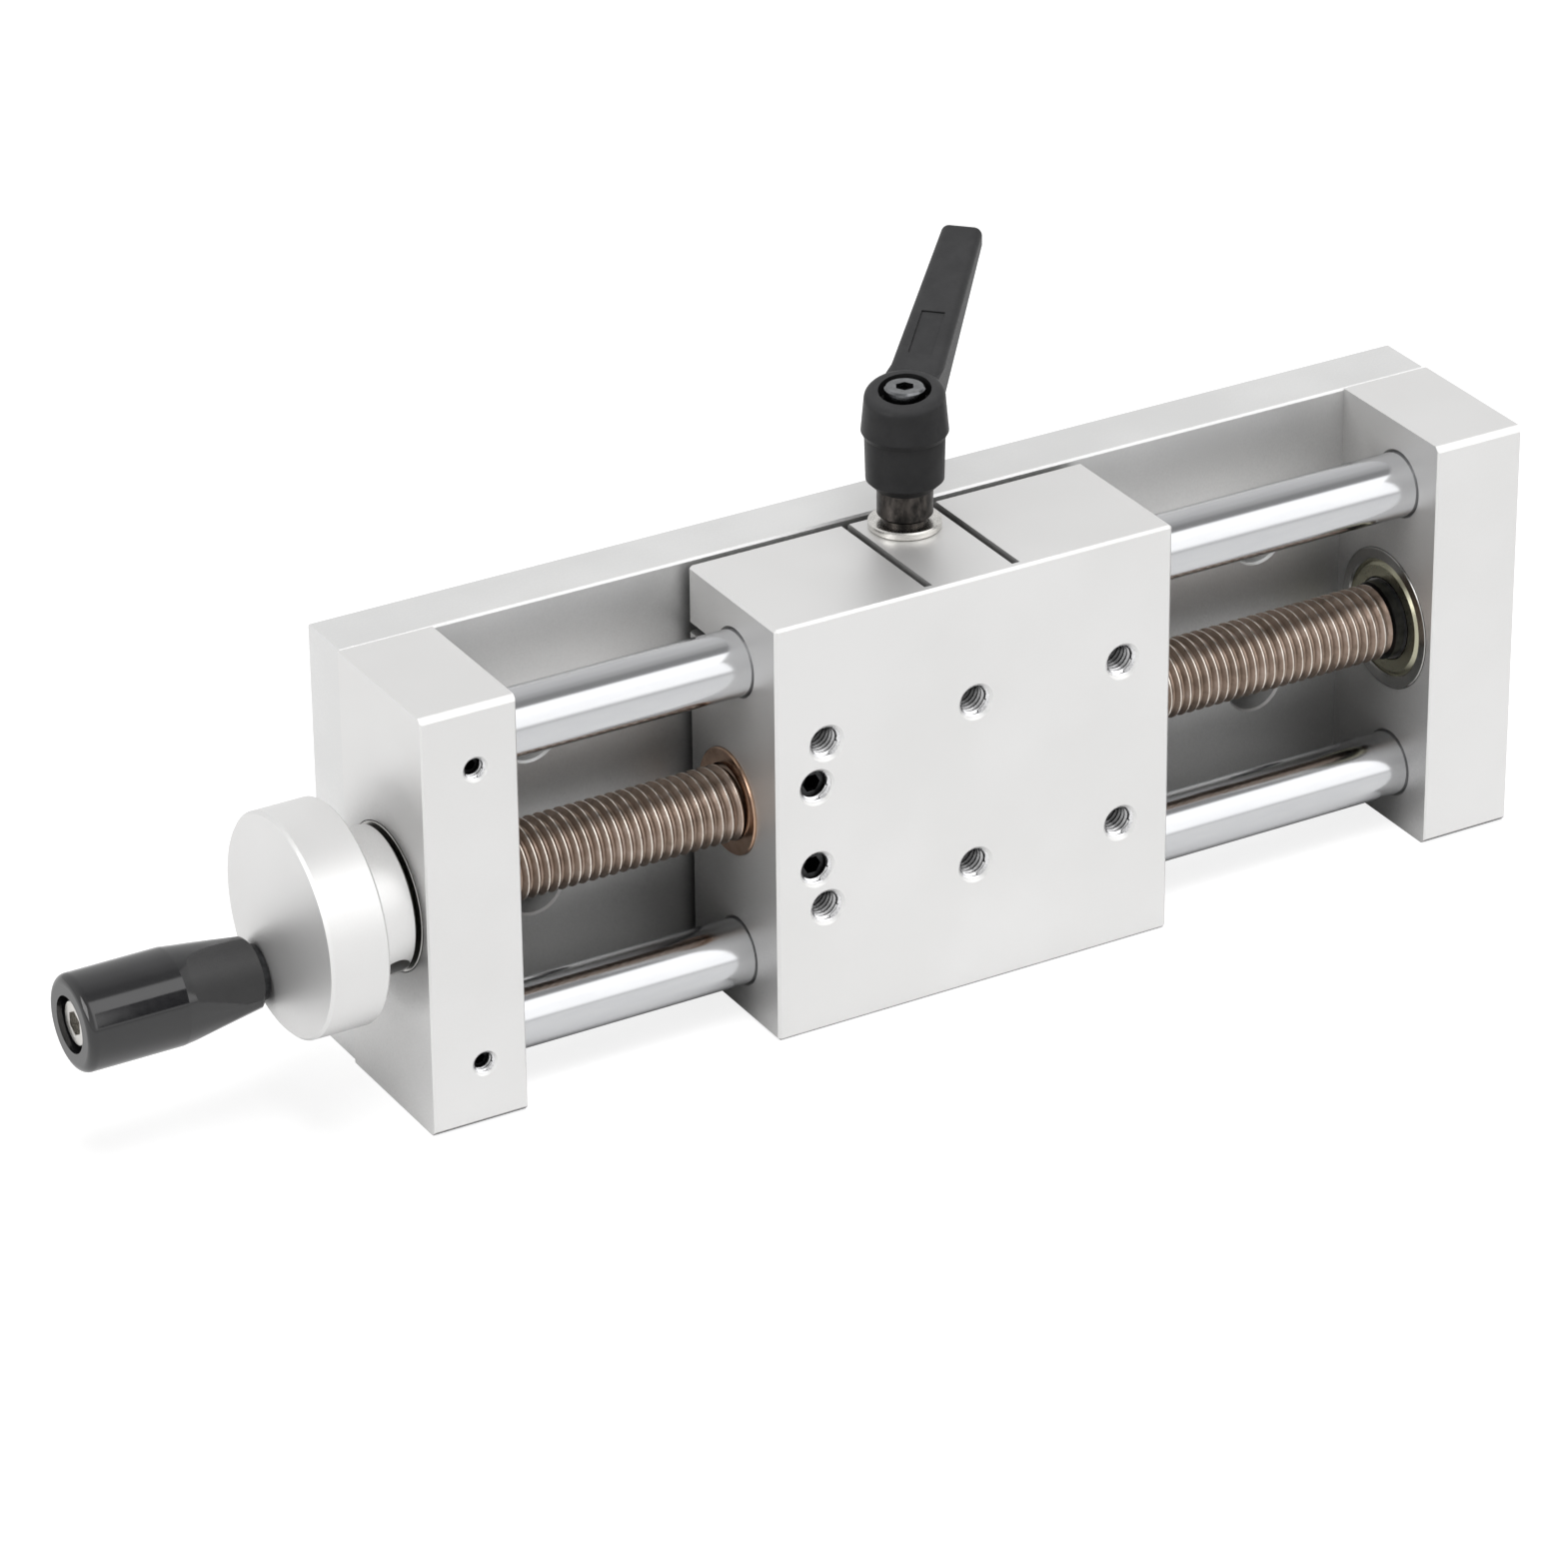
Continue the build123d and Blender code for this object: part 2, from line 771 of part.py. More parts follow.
def grip():
    """Revolving grip: round barrel, then a tapered neck with three wide, slightly round facets."""
    outer_r = grip_d / 2
    end_r = grip_wheel_end_d / 2
    straight_end_x = grip_left_x + grip_straight_length
    body = turned_x(
        [
            (grip_left_x, 0),
            (grip_left_x, outer_r),
            (straight_end_x, outer_r),
            (grip_right_x, end_r),
            (grip_right_x, 0),
        ],
        grip_y,
        grip_z,
    )
    rims = body.edges().filter_by(GeomType.CIRCLE).sort_by(Axis.X)
    body = fillet(rims[0], grip_outer_round)
    rims = body.edges().filter_by(GeomType.CIRCLE).sort_by(Axis.X)
    body = fillet(rims[-1], grip_wheel_round)
    facet_run = grip_length - grip_facet_start
    taper = (outer_r - end_r) / (grip_length - grip_straight_length)
    start_r = end_r + taper * facet_run
    tilt = math.degrees(math.atan2(start_r - end_r + grip_facet_in, facet_run))
    cutter = Box(3 * facet_run, 2 * grip_facet_radius, 2 * grip_d)
    cutter -= Pos(0, -grip_facet_radius, 0) * Cylinder(
        grip_facet_radius, 3 * facet_run, rotation=(0, 90, 0)
    )
    for index in range(grip_facets):
        turn = grip_facet_turn + 360 * index / grip_facets
        place = Pos(grip_left_x + grip_facet_start, grip_y, grip_z) * Rot(turn, 0, 0)
        body -= place * Pos(0, start_r, 0) * Rot(0, 0, -tilt) * cutter
    body -= x_cylinder(grip_recess_d, grip_left_x, grip_floor_x, grip_y, grip_z)
    hole_d = sleeve_d + 2 * running_clearance
    return body - x_cylinder(hole_d, grip_floor_x, grip_right_x, grip_y, grip_z)


def grip_sleeve():
    """Steel sleeve that the grip turns on, flanged at the wheel."""
    bore_r = grip_bolt_d / 2 + thread_clearance
    return turned_x(
        [
            (bolt_head_x, bore_r),
            (bolt_head_x, sleeve_d / 2),
            (sleeve_right_x - sleeve_flange_thickness, sleeve_d / 2),
            (sleeve_right_x - sleeve_flange_thickness, sleeve_flange_d / 2),
            (sleeve_right_x, sleeve_flange_d / 2),
            (sleeve_right_x, bore_r),
        ],
        grip_y,
        grip_z,
    )


def grip_bolt():
    """Socket head screw through the sleeve into the wheel."""
    length = wheel_left_x + grip_bolt_grip - bolt_head_x
    screw = cap_screw(
        grip_bolt_d, length, grip_bolt_head_d, grip_bolt_head_height, grip_bolt_socket
    )
    return along_x(screw, bolt_head_x, grip_y, grip_z, -1)


def face_hole_places():
    """X and Z of the six tapped holes in the carriage face."""
    xs = [carriage_rest_x + face_pitch_x * column for column in (-1, 0, 1)]
    zs = [face_pitch_z * row for row in (-0.5, 0.5)]
    return [(x, z) for x in xs for z in zs]


def nut_grub_x():
    """X of the two grub screws that lock the lead nut."""
    return carriage_left_x + nut_grub_from_side


def nut_grub_zs():
    """Heights of the two grub screws that lock the lead nut."""
    return (-nut_grub_pitch_z / 2, nut_grub_pitch_z / 2)


def nut_grub_tip_y():
    """Where the inner edge of a grub screw's tip meets the round side of the nut."""
    inner_edge = nut_grub_pitch_z / 2 - nut_grub_d / 2 + nut_grub_d / 6
    return screw_y - math.sqrt((nut_d / 2) ** 2 - inner_edge**2) - thread_clearance


def carriage_block():
    """The square carriage: shaft bores, nut seat, tapped face holes and the slotted clamp tab."""
    body = block(
        carriage_left_x,
        carriage_right_x,
        carriage_front_y,
        carriage_back_y,
        -carriage_height / 2,
        carriage_top_z,
    )
    body = chamfer(body.edges(), carriage_chamfer)
    bore_d = shaft_d + 2 * running_clearance
    for z in shaft_zs:
        body -= x_cylinder(bore_d, carriage_left_x, carriage_right_x, shaft_y, z)
        mouths = ((carriage_left_x, 1), (carriage_right_x, -1))
        for x, side in mouths:
            body -= bore_mouth_x(x, bore_d, bore_mouth_chamfer, side, shaft_y, z)
    body -= carriage_nut_seat()
    body -= carriage_tapped_holes()
    body -= carriage_clamp_cuts()
    return body


def carriage_nut_seat():
    """The stepped bore for the flanged nut and the way for the screw behind it."""
    seat_d = nut_d + 2 * seat_clearance
    sink = nut_flange_thickness - nut_flange_proud
    sink_d = nut_flange_d + 2 * thread_clearance
    way_d = screw_d + 2 * pass_clearance
    nut_end_x = carriage_left_x - nut_flange_proud + nut_length
    return [
        x_cylinder(seat_d, carriage_left_x, nut_end_x, screw_y, 0),
        x_cylinder(sink_d, carriage_left_x, carriage_left_x + sink, screw_y, 0),
        x_cylinder(way_d, carriage_left_x, carriage_right_x, screw_y, 0),
    ]


def carriage_tapped_holes():
    """Blind tapped holes in the face and the two that reach the nut."""
    cuts = []
    for x, z in face_hole_places():
        end_y = carriage_front_y + face_hole_depth
        cuts.append(y_cylinder(face_hole_d, carriage_front_y, end_y, x, z))
        cuts.append(countersink_y(carriage_front_y, face_hole_sink_d, face_hole_d, x, z))
    for z in nut_grub_zs():
        hole_d = nut_grub_d + 2 * thread_clearance
        cuts.append(y_cylinder(hole_d, carriage_front_y, nut_grub_tip_y(), nut_grub_x(), z))
        cuts.append(countersink_y(carriage_front_y, face_hole_sink_d, hole_d, nut_grub_x(), z))
    return cuts


def carriage_clamp_cuts():
    """Slit behind the upper shaft, two slots beside the tab and the clamp screw's holes."""
    cuts = [
        block(
            carriage_left_x,
            carriage_right_x,
            shaft_y,
            carriage_back_y,
            slit_bottom_z,
            slit_top_z,
        )
    ]
    for side in (-1, 1):
        near = carriage_rest_x + side * tab_width / 2
        far = near + side * slot_width
        cuts.append(
            block(
                min(near, far),
                max(near, far),
                carriage_front_y + slot_front_wall,
                carriage_back_y,
                slit_bottom_z,
                carriage_top_z,
            )
        )
    x = carriage_rest_x
    tap_d = clamp_thread_d + 2 * thread_clearance
    tap_end_z = stud_bottom_z - pass_clearance
    cuts.append(z_cylinder(clamp_hole_d, slit_bottom_z, carriage_top_z, x, clamp_y))
    cuts.append(z_cylinder(tap_d, tap_end_z, slit_bottom_z, x, clamp_y))
    return cuts


def lead_nut():
    """Bronze flanged nut, its thread as a bore with running clearance on the crest."""
    left = carriage_left_x - nut_flange_proud
    bore_r = screw_d / 2 + thread_clearance
    return turned_x(
        [
            (left, bore_r),
            (left, nut_flange_d / 2 - nut_flange_chamfer),
            (left + nut_flange_chamfer, nut_flange_d / 2),
            (left + nut_flange_thickness, nut_flange_d / 2),
            (left + nut_flange_thickness, nut_d / 2),
            (left + nut_length, nut_d / 2),
            (left + nut_length, bore_r),
        ],
        screw_y,
        0,
    )


def nut_grub_screws():
    """The two set screws that bear on the sides of the nut."""
    head_y = nut_grub_tip_y() - nut_grub_length
    screw = grub_screw(nut_grub_d, nut_grub_length, nut_grub_socket)
    placed = [along_y(screw, nut_grub_x(), head_y, z, -1) for z in nut_grub_zs()]
    return Compound(children=placed)


def clamp_washer():
    """Plain washer on top of the tab."""
    x = carriage_rest_x
    washer = z_cylinder(washer_od, carriage_top_z, washer_top_z, x, clamp_y)
    washer = chamfer(washer.edges().filter_by(GeomType.CIRCLE), washer_thickness / 6)
    hole_d = clamp_thread_d + 2 * thread_clearance
    return washer - z_cylinder(hole_d, carriage_top_z, washer_top_z, x, clamp_y)


def tooth_ring(clearance):
    """The serrated outline that insert and lever share, grown by a clearance."""
    outer = tooth_outer_d / 2 + clearance
    root = outer - tooth_depth
    points = []
    for index in range(2 * tooth_count):
        angle = math.pi * index / tooth_count
        radius = outer if index % 2 == 0 else root
        points.append((radius * math.cos(angle), radius * math.sin(angle)))
    return make_face(Polyline(*points, close=True))


def clamp_insert():
    """Steel insert of the lever: stud, collar, serrated ring and the thread of its top screw."""
    x = carriage_rest_x
    collar_r = insert_d / 2
    neck_r = insert_neck_d / 2
    stud_r = clamp_thread_d / 2
    body = turned_z(
        [
            (0, stud_bottom_z),
            (stud_r - insert_chamfer, stud_bottom_z),
            (stud_r, stud_bottom_z + insert_chamfer),
            (stud_r, washer_top_z),
            (neck_r, washer_top_z),
            (neck_r, insert_bottom_z),
            (collar_r - insert_chamfer, insert_bottom_z),
            (collar_r, insert_bottom_z + insert_chamfer),
            (collar_r, tooth_bottom_z),
            (0, tooth_bottom_z),
        ],
        x,
        clamp_y,
    )
    teeth = Rot(0, 0, arm_angle) * extrude(tooth_ring(0), tooth_length)
    body += Pos(x, clamp_y, tooth_bottom_z) * teeth
    tap_d = lever_screw_d + 2 * thread_clearance
    tap_end_z = tooth_top_z - lever_screw_bite - pass_clearance
    return body - z_cylinder(tap_d, tap_end_z, tooth_top_z, x, clamp_y)


def lever_hub():
    """The turned hub of the lever about its own axis, solid, its top sloping up to the arm."""
    base_r = lever_base_d / 2
    lower_r = lever_lower_d / 2
    upper_r = lever_upper_d / 2
    top_r = lever_top_d / 2
    step_r = lower_r + (upper_r - lower_r) / 4
    taper = (upper_r - top_r) / (lever_upper_height - lever_step_height)
    hub = turned_z(
        [
            (0, lever_base_z),
            (base_r - lever_lower_chamfer, lever_base_z),
            (base_r, lever_base_z + lever_lower_chamfer),
            (lower_r, lever_step_z),
            (step_r, lever_step_z),
            (upper_r, lever_step_z + lever_step_height),
            (top_r - taper * (lever_rim_z - lever_top_z), lever_rim_z),
            (0, lever_rim_z),
        ],
        0,
        0,
    )
    above = Pos(0, 0, arm_reach) * Box(2 * arm_reach, 2 * arm_reach, 2 * arm_reach)
    hub -= Pos(0, 0, lever_top_z) * Rot(0, -lever_top_slope, 0) * above
    return fillet(hub.faces().sort_by(Axis.Z)[-1].edges(), lever_top_round)


def lever_arm():
    """The flat arm along +X, tapered in plan and in side view, with its shallow panel."""
    root_x = lever_top_d / 2 - lever_top_round
    tip_top = lever_top_z + arm_rise
    side = make_face(
        Polyline(
            (0, lever_top_z - arm_root_height),
            (lever_upper_d / 2, lever_top_z - arm_root_height),
            (arm_reach, tip_top - arm_tip_height),
            (arm_reach, tip_top),
            (root_x, lever_top_z),
            (0, lever_top_z),
            close=True,
        )
    )
    plan = make_face(
        Polyline(
            (0, -arm_root_width / 2),
            (arm_reach, -arm_tip_width / 2),
            (arm_reach, arm_tip_width / 2),
            (0, arm_root_width / 2),
            close=True,
        )
    )
    wide = extrude(Plane.XZ * side, arm_root_width, both=True)
    tall = Pos(0, 0, lever_base_z) * extrude(plan, 2 * arm_reach)
    arm = wide & tall
    sides = arm.edges().filter_by_position(Axis.X, lever_upper_d, arm_reach - arm_tip_round)
    arm = fillet(sides, arm_edge_round)
    arm = fillet(arm.faces().sort_by(Axis.X)[-1].edges(), arm_tip_round)
    slope = math.degrees(math.atan2(arm_rise, arm_reach - root_x))
    panel = Box(panel_length, panel_width, 2 * panel_depth)
    panel = Pos(panel_start - root_x + panel_length / 2, 0, 0) * panel
    return arm - Pos(root_x, 0, lever_top_z) * Rot(0, -slope, 0) * panel


def clamp_lever():
    """Die-cast lever: hub, arm, serrated socket, web and spring bore."""
    body = lever_hub() + lever_arm()
    body -= z_cylinder(lever_recess_d, recess_floor_z, lever_rim_z, 0, 0)
    body -= z_cylinder(lever_spring_bore_d, web_top_z, recess_floor_z, 0, 0)
    body -= z_cylinder(lever_screw_d + pass_clearance, tooth_top_z, web_top_z, 0, 0)
    collar_way_d = insert_d + 2 * tooth_clearance
    body -= z_cylinder(collar_way_d, lever_base_z, tooth_bottom_z, 0, 0)
    teeth = extrude(tooth_ring(tooth_clearance), tooth_length)
    body -= Pos(0, 0, tooth_bottom_z) * teeth
    return Pos(carriage_rest_x, clamp_y, 0) * Rot(0, 0, arm_angle) * body


def lever_screw():
    """Socket head screw that keeps lever and spring on the insert."""
    length = lever_head_z - tooth_top_z + lever_screw_bite
    screw = cap_screw(
        lever_screw_d, length, lever_screw_head_d, lever_screw_head_height, lever_screw_socket
    )
    return Pos(carriage_rest_x, clamp_y, lever_head_z) * screw


def lever_spring():
    """The spring under the screw's head that pushes the lever down."""
    coil_r = (lever_spring_bore_d - spring_wire_d) / 2 - thread_clearance
    height = lever_head_z - web_top_z - spring_wire_d - 2 * seat_clearance
    pitch = height / spring_turns
    path = Helix(pitch, height, coil_r)
    wire = RegularPolygon(spring_wire_d / 2, spring_wire_sides)
    section = Plane(origin=path @ 0, z_dir=path % 0) * wire
    coil = sweep(section, path, is_frenet=True)
    start_z = web_top_z + spring_wire_d / 2 + seat_clearance
    return Pos(carriage_rest_x, clamp_y, start_z) * coil


def build_nodes():
    """Every piece under the name of its file."""
    nodes = {
        "base_plate": base_plate(),
        "plate_screws": plate_screws(),
        "left_block": left_block(),
        "right_block": right_block(),
        "guide_shaft_upper": guide_shaft(shaft_z),
        "guide_shaft_lower": guide_shaft(-shaft_z),
        "shaft_grub_screws": shaft_grub_screws(),
        "lead_screw": lead_screw(),
        "retaining_ring": retaining_ring(),
        "handwheel": handwheel(),
        "hub_grub_screw": hub_grub_screw(),
        "grip": grip(),
        "grip_sleeve": grip_sleeve(),
        "grip_bolt": grip_bolt(),
        "carriage_block": carriage_block(),
        "lead_nut": lead_nut(),
        "nut_grub_screws": nut_grub_screws(),
        "clamp_washer": clamp_washer(),
        "clamp_insert": clamp_insert(),
        "clamp_lever": clamp_lever(),
        "lever_screw": lever_screw(),
        "lever_spring": lever_spring(),
    }
    bearings = (
        ("left", left_bearing_x, left_spacer_x),
        ("right", right_bearing_x, right_spacer_x),
    )
    for side, x, spacer_x in bearings:
        nodes[f"{side}_bearing_outer_ring"] = outer_ring(x)
        nodes[f"{side}_bearing_inner_ring"] = inner_ring(x)
        nodes[f"{side}_bearing_balls"] = bearing_balls(x)
        nodes[f"{side}_bearing_cage"] = bearing_cage(x)
        nodes[f"{side}_bearing_shields"] = bearing_shields(x)
        nodes[f"{side}_spacer"] = spacer(spacer_x)
    return nodes


os.makedirs("parts", exist_ok=True)
for name, shape in build_nodes().items():
    export_step(shape, f"parts/{name}.step")
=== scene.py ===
import json
import math

import bmesh
import bpy
from mathutils import Matrix, Vector


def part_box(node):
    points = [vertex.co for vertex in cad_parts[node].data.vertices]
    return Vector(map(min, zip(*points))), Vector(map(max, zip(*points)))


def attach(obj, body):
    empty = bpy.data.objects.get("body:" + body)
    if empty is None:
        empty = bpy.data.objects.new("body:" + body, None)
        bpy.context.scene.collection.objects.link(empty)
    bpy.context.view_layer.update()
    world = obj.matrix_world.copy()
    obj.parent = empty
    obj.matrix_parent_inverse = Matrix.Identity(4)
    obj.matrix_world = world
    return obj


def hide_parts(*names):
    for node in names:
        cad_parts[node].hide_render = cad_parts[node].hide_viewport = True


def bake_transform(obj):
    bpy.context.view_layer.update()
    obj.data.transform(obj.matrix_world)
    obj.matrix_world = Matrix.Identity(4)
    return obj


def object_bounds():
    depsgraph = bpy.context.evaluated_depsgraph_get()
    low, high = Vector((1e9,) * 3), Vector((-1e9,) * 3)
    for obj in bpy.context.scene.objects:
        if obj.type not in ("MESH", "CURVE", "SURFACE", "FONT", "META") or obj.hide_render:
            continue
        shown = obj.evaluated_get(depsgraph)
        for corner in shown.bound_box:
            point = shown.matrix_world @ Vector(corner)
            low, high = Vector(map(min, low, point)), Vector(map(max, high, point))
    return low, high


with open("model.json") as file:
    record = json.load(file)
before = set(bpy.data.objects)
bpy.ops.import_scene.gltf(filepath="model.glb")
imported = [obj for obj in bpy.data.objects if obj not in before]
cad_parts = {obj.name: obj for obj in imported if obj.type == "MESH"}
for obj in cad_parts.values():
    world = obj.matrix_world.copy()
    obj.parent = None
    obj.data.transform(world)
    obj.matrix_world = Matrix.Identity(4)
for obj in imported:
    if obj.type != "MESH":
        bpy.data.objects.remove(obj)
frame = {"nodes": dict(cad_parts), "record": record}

cad_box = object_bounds()

MM = 0.001
NODES = frame["nodes"]
MOUNTS = {mount["name"]: mount for mount in frame["record"]["mounts"]}


def millimetres(*values):
    """A vector in metres from coordinates in millimetres."""
    return Vector(values) * MM


# Camera: where the photograph was taken from, in the part's frame
CAMERA_PLACE = millimetres(-576.1, -974.9, 577.9)
CAMERA_AZIMUTH = math.radians(-29.80)
CAMERA_ELEVATION = math.radians(27.87)
CAMERA_ROLL = math.radians(-0.60)
CAMERA_REACH = 50.0
SENSOR_WIDTH = 36.0
LENS = 162.89

# Floor: its colour, the glow that the camera sees and the glow that metal reflects, which painted
# shade darkens near the part
FLOOR_REACH = 6.0
FLOOR_COLOUR = (0.34, 0.34, 0.34)
FLOOR_LIFT = 0.82
FLOOR_GLEAM = 0.63

# Lamps: place and size in metres, power in watts
TOP_LAMP_PLACE = (0.1, -0.25, 1.5)
TOP_LAMP_SIZE = (1.4, 0.9)
TOP_LAMP_POWER = 27.0
SIDE_LAMP_PLACE = (-1.3, -0.2, 0.6)
SIDE_LAMP_SIZE = (0.8, 0.8)
SIDE_LAMP_POWER = 6.0
LAMP_TARGET = (0.0, -0.02, 0.0)
BACKDROP_LEVEL = 1.0
LIGHT_LEVEL = 0.20

# A leaning black card before the grip, in metres
FLAG_COLOUR = (0.10, 0.10, 0.11)
FLAG_Y = -0.31
FLAG_BOTTOM = 0.018
FLAG_TOP = 0.224
FLAG_BOTTOM_X = (-0.062, -0.020)
FLAG_TOP_X = (0.010, -0.031)

# Brightness that metal reflects, by the angle about X: 0.25 down, 0.5 ahead, 0.75 up, 1 behind
STUDIO_STOPS = [
    (0.000, 0.95), (0.490, 0.85), (0.505, 0.85), (0.514, 1.30), (0.530, 1.70), (0.600, 1.75),
    (0.622, 1.92), (0.680, 1.88), (0.695, 0.45), (0.705, 0.36), (0.735, 0.36), (0.779, 0.58),
    (0.830, 0.76), (0.900, 0.84), (1.000, 0.80),
]
# The same towards the handwheel's side, where the wall is dark
DARK_SIDE_STOPS = [
    (0.000, 0.95), (0.490, 0.85), (0.520, 0.88), (0.600, 0.74), (0.690, 0.58), (0.735, 0.44),
    (0.779, 0.62), (0.830, 0.76), (0.900, 0.84), (1.000, 0.80),
]
# X of the directions at which the dark side stops being full and the bright side is full
DARK_SIDE_FROM = -0.30
DARK_SIDE_TO = 0.05
# Above every level in the stops, so that a ramp can hold them as shares of it
STUDIO_LEVEL = 2.1

# Painted shade: openness, from ambient occlusion, against the share of a colour or glow that is
# kept, and how far it looks in millimetres
OCCLUSION_SAMPLES = 8
ALUMINIUM_SHADE = [
    (0.00, 0.30), (0.16, 0.64), (0.20, 0.62), (0.28, 0.68), (0.36, 0.96), (0.43, 1.00),
    (1.00, 1.00),
]
PLATE_SHADE = [
    (0.00, 0.30), (0.16, 0.64), (0.20, 0.64), (0.27, 0.74), (0.33, 1.00), (1.00, 1.00),
]
CARRIAGE_SHADE = [
    (0.00, 0.18), (0.16, 0.64), (0.28, 0.86), (0.36, 0.96), (0.43, 1.00), (1.00, 1.00),
]
LEVER_SHADE = [
    (0.00, 0.30), (0.40, 0.50), (0.62, 0.66), (0.80, 0.94), (0.90, 1.00), (1.00, 1.00),
]
THREAD_SHADE = [(0.00, 0.04), (0.12, 0.10), (0.28, 0.36), (0.42, 0.95), (1.00, 1.00)]
FLOOR_SHADE = [(0.00, 0.05), (0.20, 0.12), (0.36, 0.80), (0.46, 1.00), (1.00, 1.00)]
ALUMINIUM_SHADE_REACH = 70.0
LEVER_SHADE_REACH = 45.0
THREAD_SHADE_REACH = 9.0
FLOOR_SHADE_REACH = 120.0

# The lead screw's thread and journals, in millimetres
SCREW_PITCH = 2.0
SCREW_DEPTH = 0.85
SCREW_CREST = 0.24
SCREW_FLANK = 0.70
SCREW_EDGE = 0.04
SCREW_SIDES = 72
THREAD_CHAMFER = 0.8
SPACER_WALL = 1.2
JOURNAL_PLAY = 0.02
JOURNAL_SIDES = 48
JOURNAL_OVERLAP = 0.1
WHEEL_SEAT_RADIUS = 5.0
END_CHAMFER = 0.4

# Tapped holes: shares of the pitch, and lengths in millimetres
TAP_DEPTH_SHARE = 0.54
TAP_FLANK_SHARE = 0.36
TAP_CREST_SHARE = 0.14
TAP_WALL = 0.06
TAP_PLAY = 0.01
TAP_RIM = 0.02
TAP_SIDES = 40
FACE_TAP = {"diameter": 6.0, "pitch": 1.0}
NUT_TAP = {"diameter": 6.1, "pitch": 1.0}
SHAFT_TAP = {"diameter": 4.1, "pitch": 0.7}
FACE_TAP_DEPTH = 13.0
CARRIAGE_TAP_SINK = 0.5
BLOCK_TAP_SINK = 0.35
NUT_SCREW_RADIUS = 3.0
SHAFT_SCREW_RADIUS = 2.0
SCREW_TOP_PLAY = 0.1

# The way that the screw's helix runs, and the way into the part from its front
HELIX_AXIS = Vector((1, 0, 0))
INWARD = Vector((0, 1, 0))

# Angles above which an edge stays sharp, in degrees, and distances between points, in millimetres
SCREW_SHARP = 28.0
TAP_SHARP = 40.0
WELD = 1e-4
SAME_STATION = 1e-3

# Sockets of a Mix node that mixes colours
MIX_FACTOR, MIX_FIRST, MIX_SECOND, MIX_RESULT = 0, 6, 7, 2


def setup_camera():
    """A long-lens camera at the photograph's place and angle."""
    azimuth, elevation = CAMERA_AZIMUTH, CAMERA_ELEVATION
    back = Vector((
        math.sin(azimuth) * math.cos(elevation),
        -math.cos(azimuth) * math.cos(elevation),
        math.sin(elevation),
    ))
    level_right = Vector((0, 0, 1)).cross(back).normalized()
    level_up = back.cross(level_right).normalized()
    right = level_right * math.cos(CAMERA_ROLL) + level_up * math.sin(CAMERA_ROLL)
    up = back.cross(right)
    data = bpy.data.cameras.new("camera")
    data.sensor_width = SENSOR_WIDTH
    data.lens = LENS
    data.clip_end = CAMERA_REACH
    camera = bpy.data.objects.new("camera", data)
    rotation = Matrix((right, up, back)).transposed().to_4x4()
    camera.matrix_world = Matrix.Translation(CAMERA_PLACE) @ rotation
    bpy.context.scene.collection.objects.link(camera)
    bpy.context.scene.camera = camera


# Shader helpers
def link(tree, source, target):
    """Join an output socket to an input socket."""
    tree.links.new(source, target)


def math_node(tree, operation, *values):
    """A Math node whose inputs are sockets or numbers; returns its output."""
    node = tree.nodes.new("ShaderNodeMath")
    node.operation = operation
    for socket, value in zip(node.inputs, values):
        if isinstance(value, (int, float)):
            socket.default_value = value
        else:
            link(tree, value, socket)
    return node.outputs[0]


def ramp_node(tree, source, stops, interpolation="EASE"):
    """A colour ramp over (position, colour) stops; returns its colour."""
    node = tree.nodes.new("ShaderNodeValToRGB")
    node.color_ramp.interpolation = interpolation
    elements = node.color_ramp.elements
    while len(elements) < len(stops):
        elements.new(0.5)
    for element, (position, colour) in zip(elements, stops):
        element.position = position
        element.color = (*colour, 1)
    link(tree, source, node.inputs[0])
    return node.outputs[0]


def grey_stops(stops, full=1.0):
    """Ramp stops with neutral colours, from levels that are shares of full."""
    return [(place, (level / full,) * 3) for place, level in stops]


def spread(tree, value, low, high, from_low=0.3, from_high=0.7):
    """Spread a stretch of a value, by default the middle of a noise, over a range."""
    node = tree.nodes.new("ShaderNodeMapRange")
    node.inputs["From Min"].default_value = from_low
    node.inputs["From Max"].default_value = from_high
    node.inputs["To Min"].default_value = low
    node.inputs["To Max"].default_value = high
    link(tree, value, node.inputs["Value"])
    return node.outputs["Result"]


def mix_colours(tree, first, second, blend="MIX", factor=None):
    """Two colours mixed by a factor socket, or fully without one."""
    node = tree.nodes.new("ShaderNodeMix")
    node.data_type = "RGBA"
    node.blend_type = blend
    if factor is None:
        node.inputs[MIX_FACTOR].default_value = 1.0
    else:
        link(tree, factor, node.inputs[MIX_FACTOR])
    link(tree, first, node.inputs[MIX_FIRST])
    link(tree, second, node.inputs[MIX_SECOND])
    return node.outputs[MIX_RESULT]


def shade_by_openness(tree, reach_mm, stops):
    """A grey factor of painted shade, for how closely other surfaces stand round a point."""
    node = tree.nodes.new("ShaderNodeAmbientOcclusion")
    node.samples = OCCLUSION_SAMPLES
    node.inputs["Distance"].default_value = reach_mm * MM
    return ramp_node(tree, node.outputs["AO"], grey_stops(stops), "LINEAR")


def object_coordinates(tree, stretch=(1, 1, 1)):
    """Object coordinates, stretched so that a texture runs long where stretch is small."""
    coordinates = tree.nodes.new("ShaderNodeTexCoord")
    mapping = tree.nodes.new("ShaderNodeMapping")
    mapping.inputs["Scale"].default_value = stretch
    link(tree, coordinates.outputs["Object"], mapping.inputs[0])
    return mapping.outputs[0]


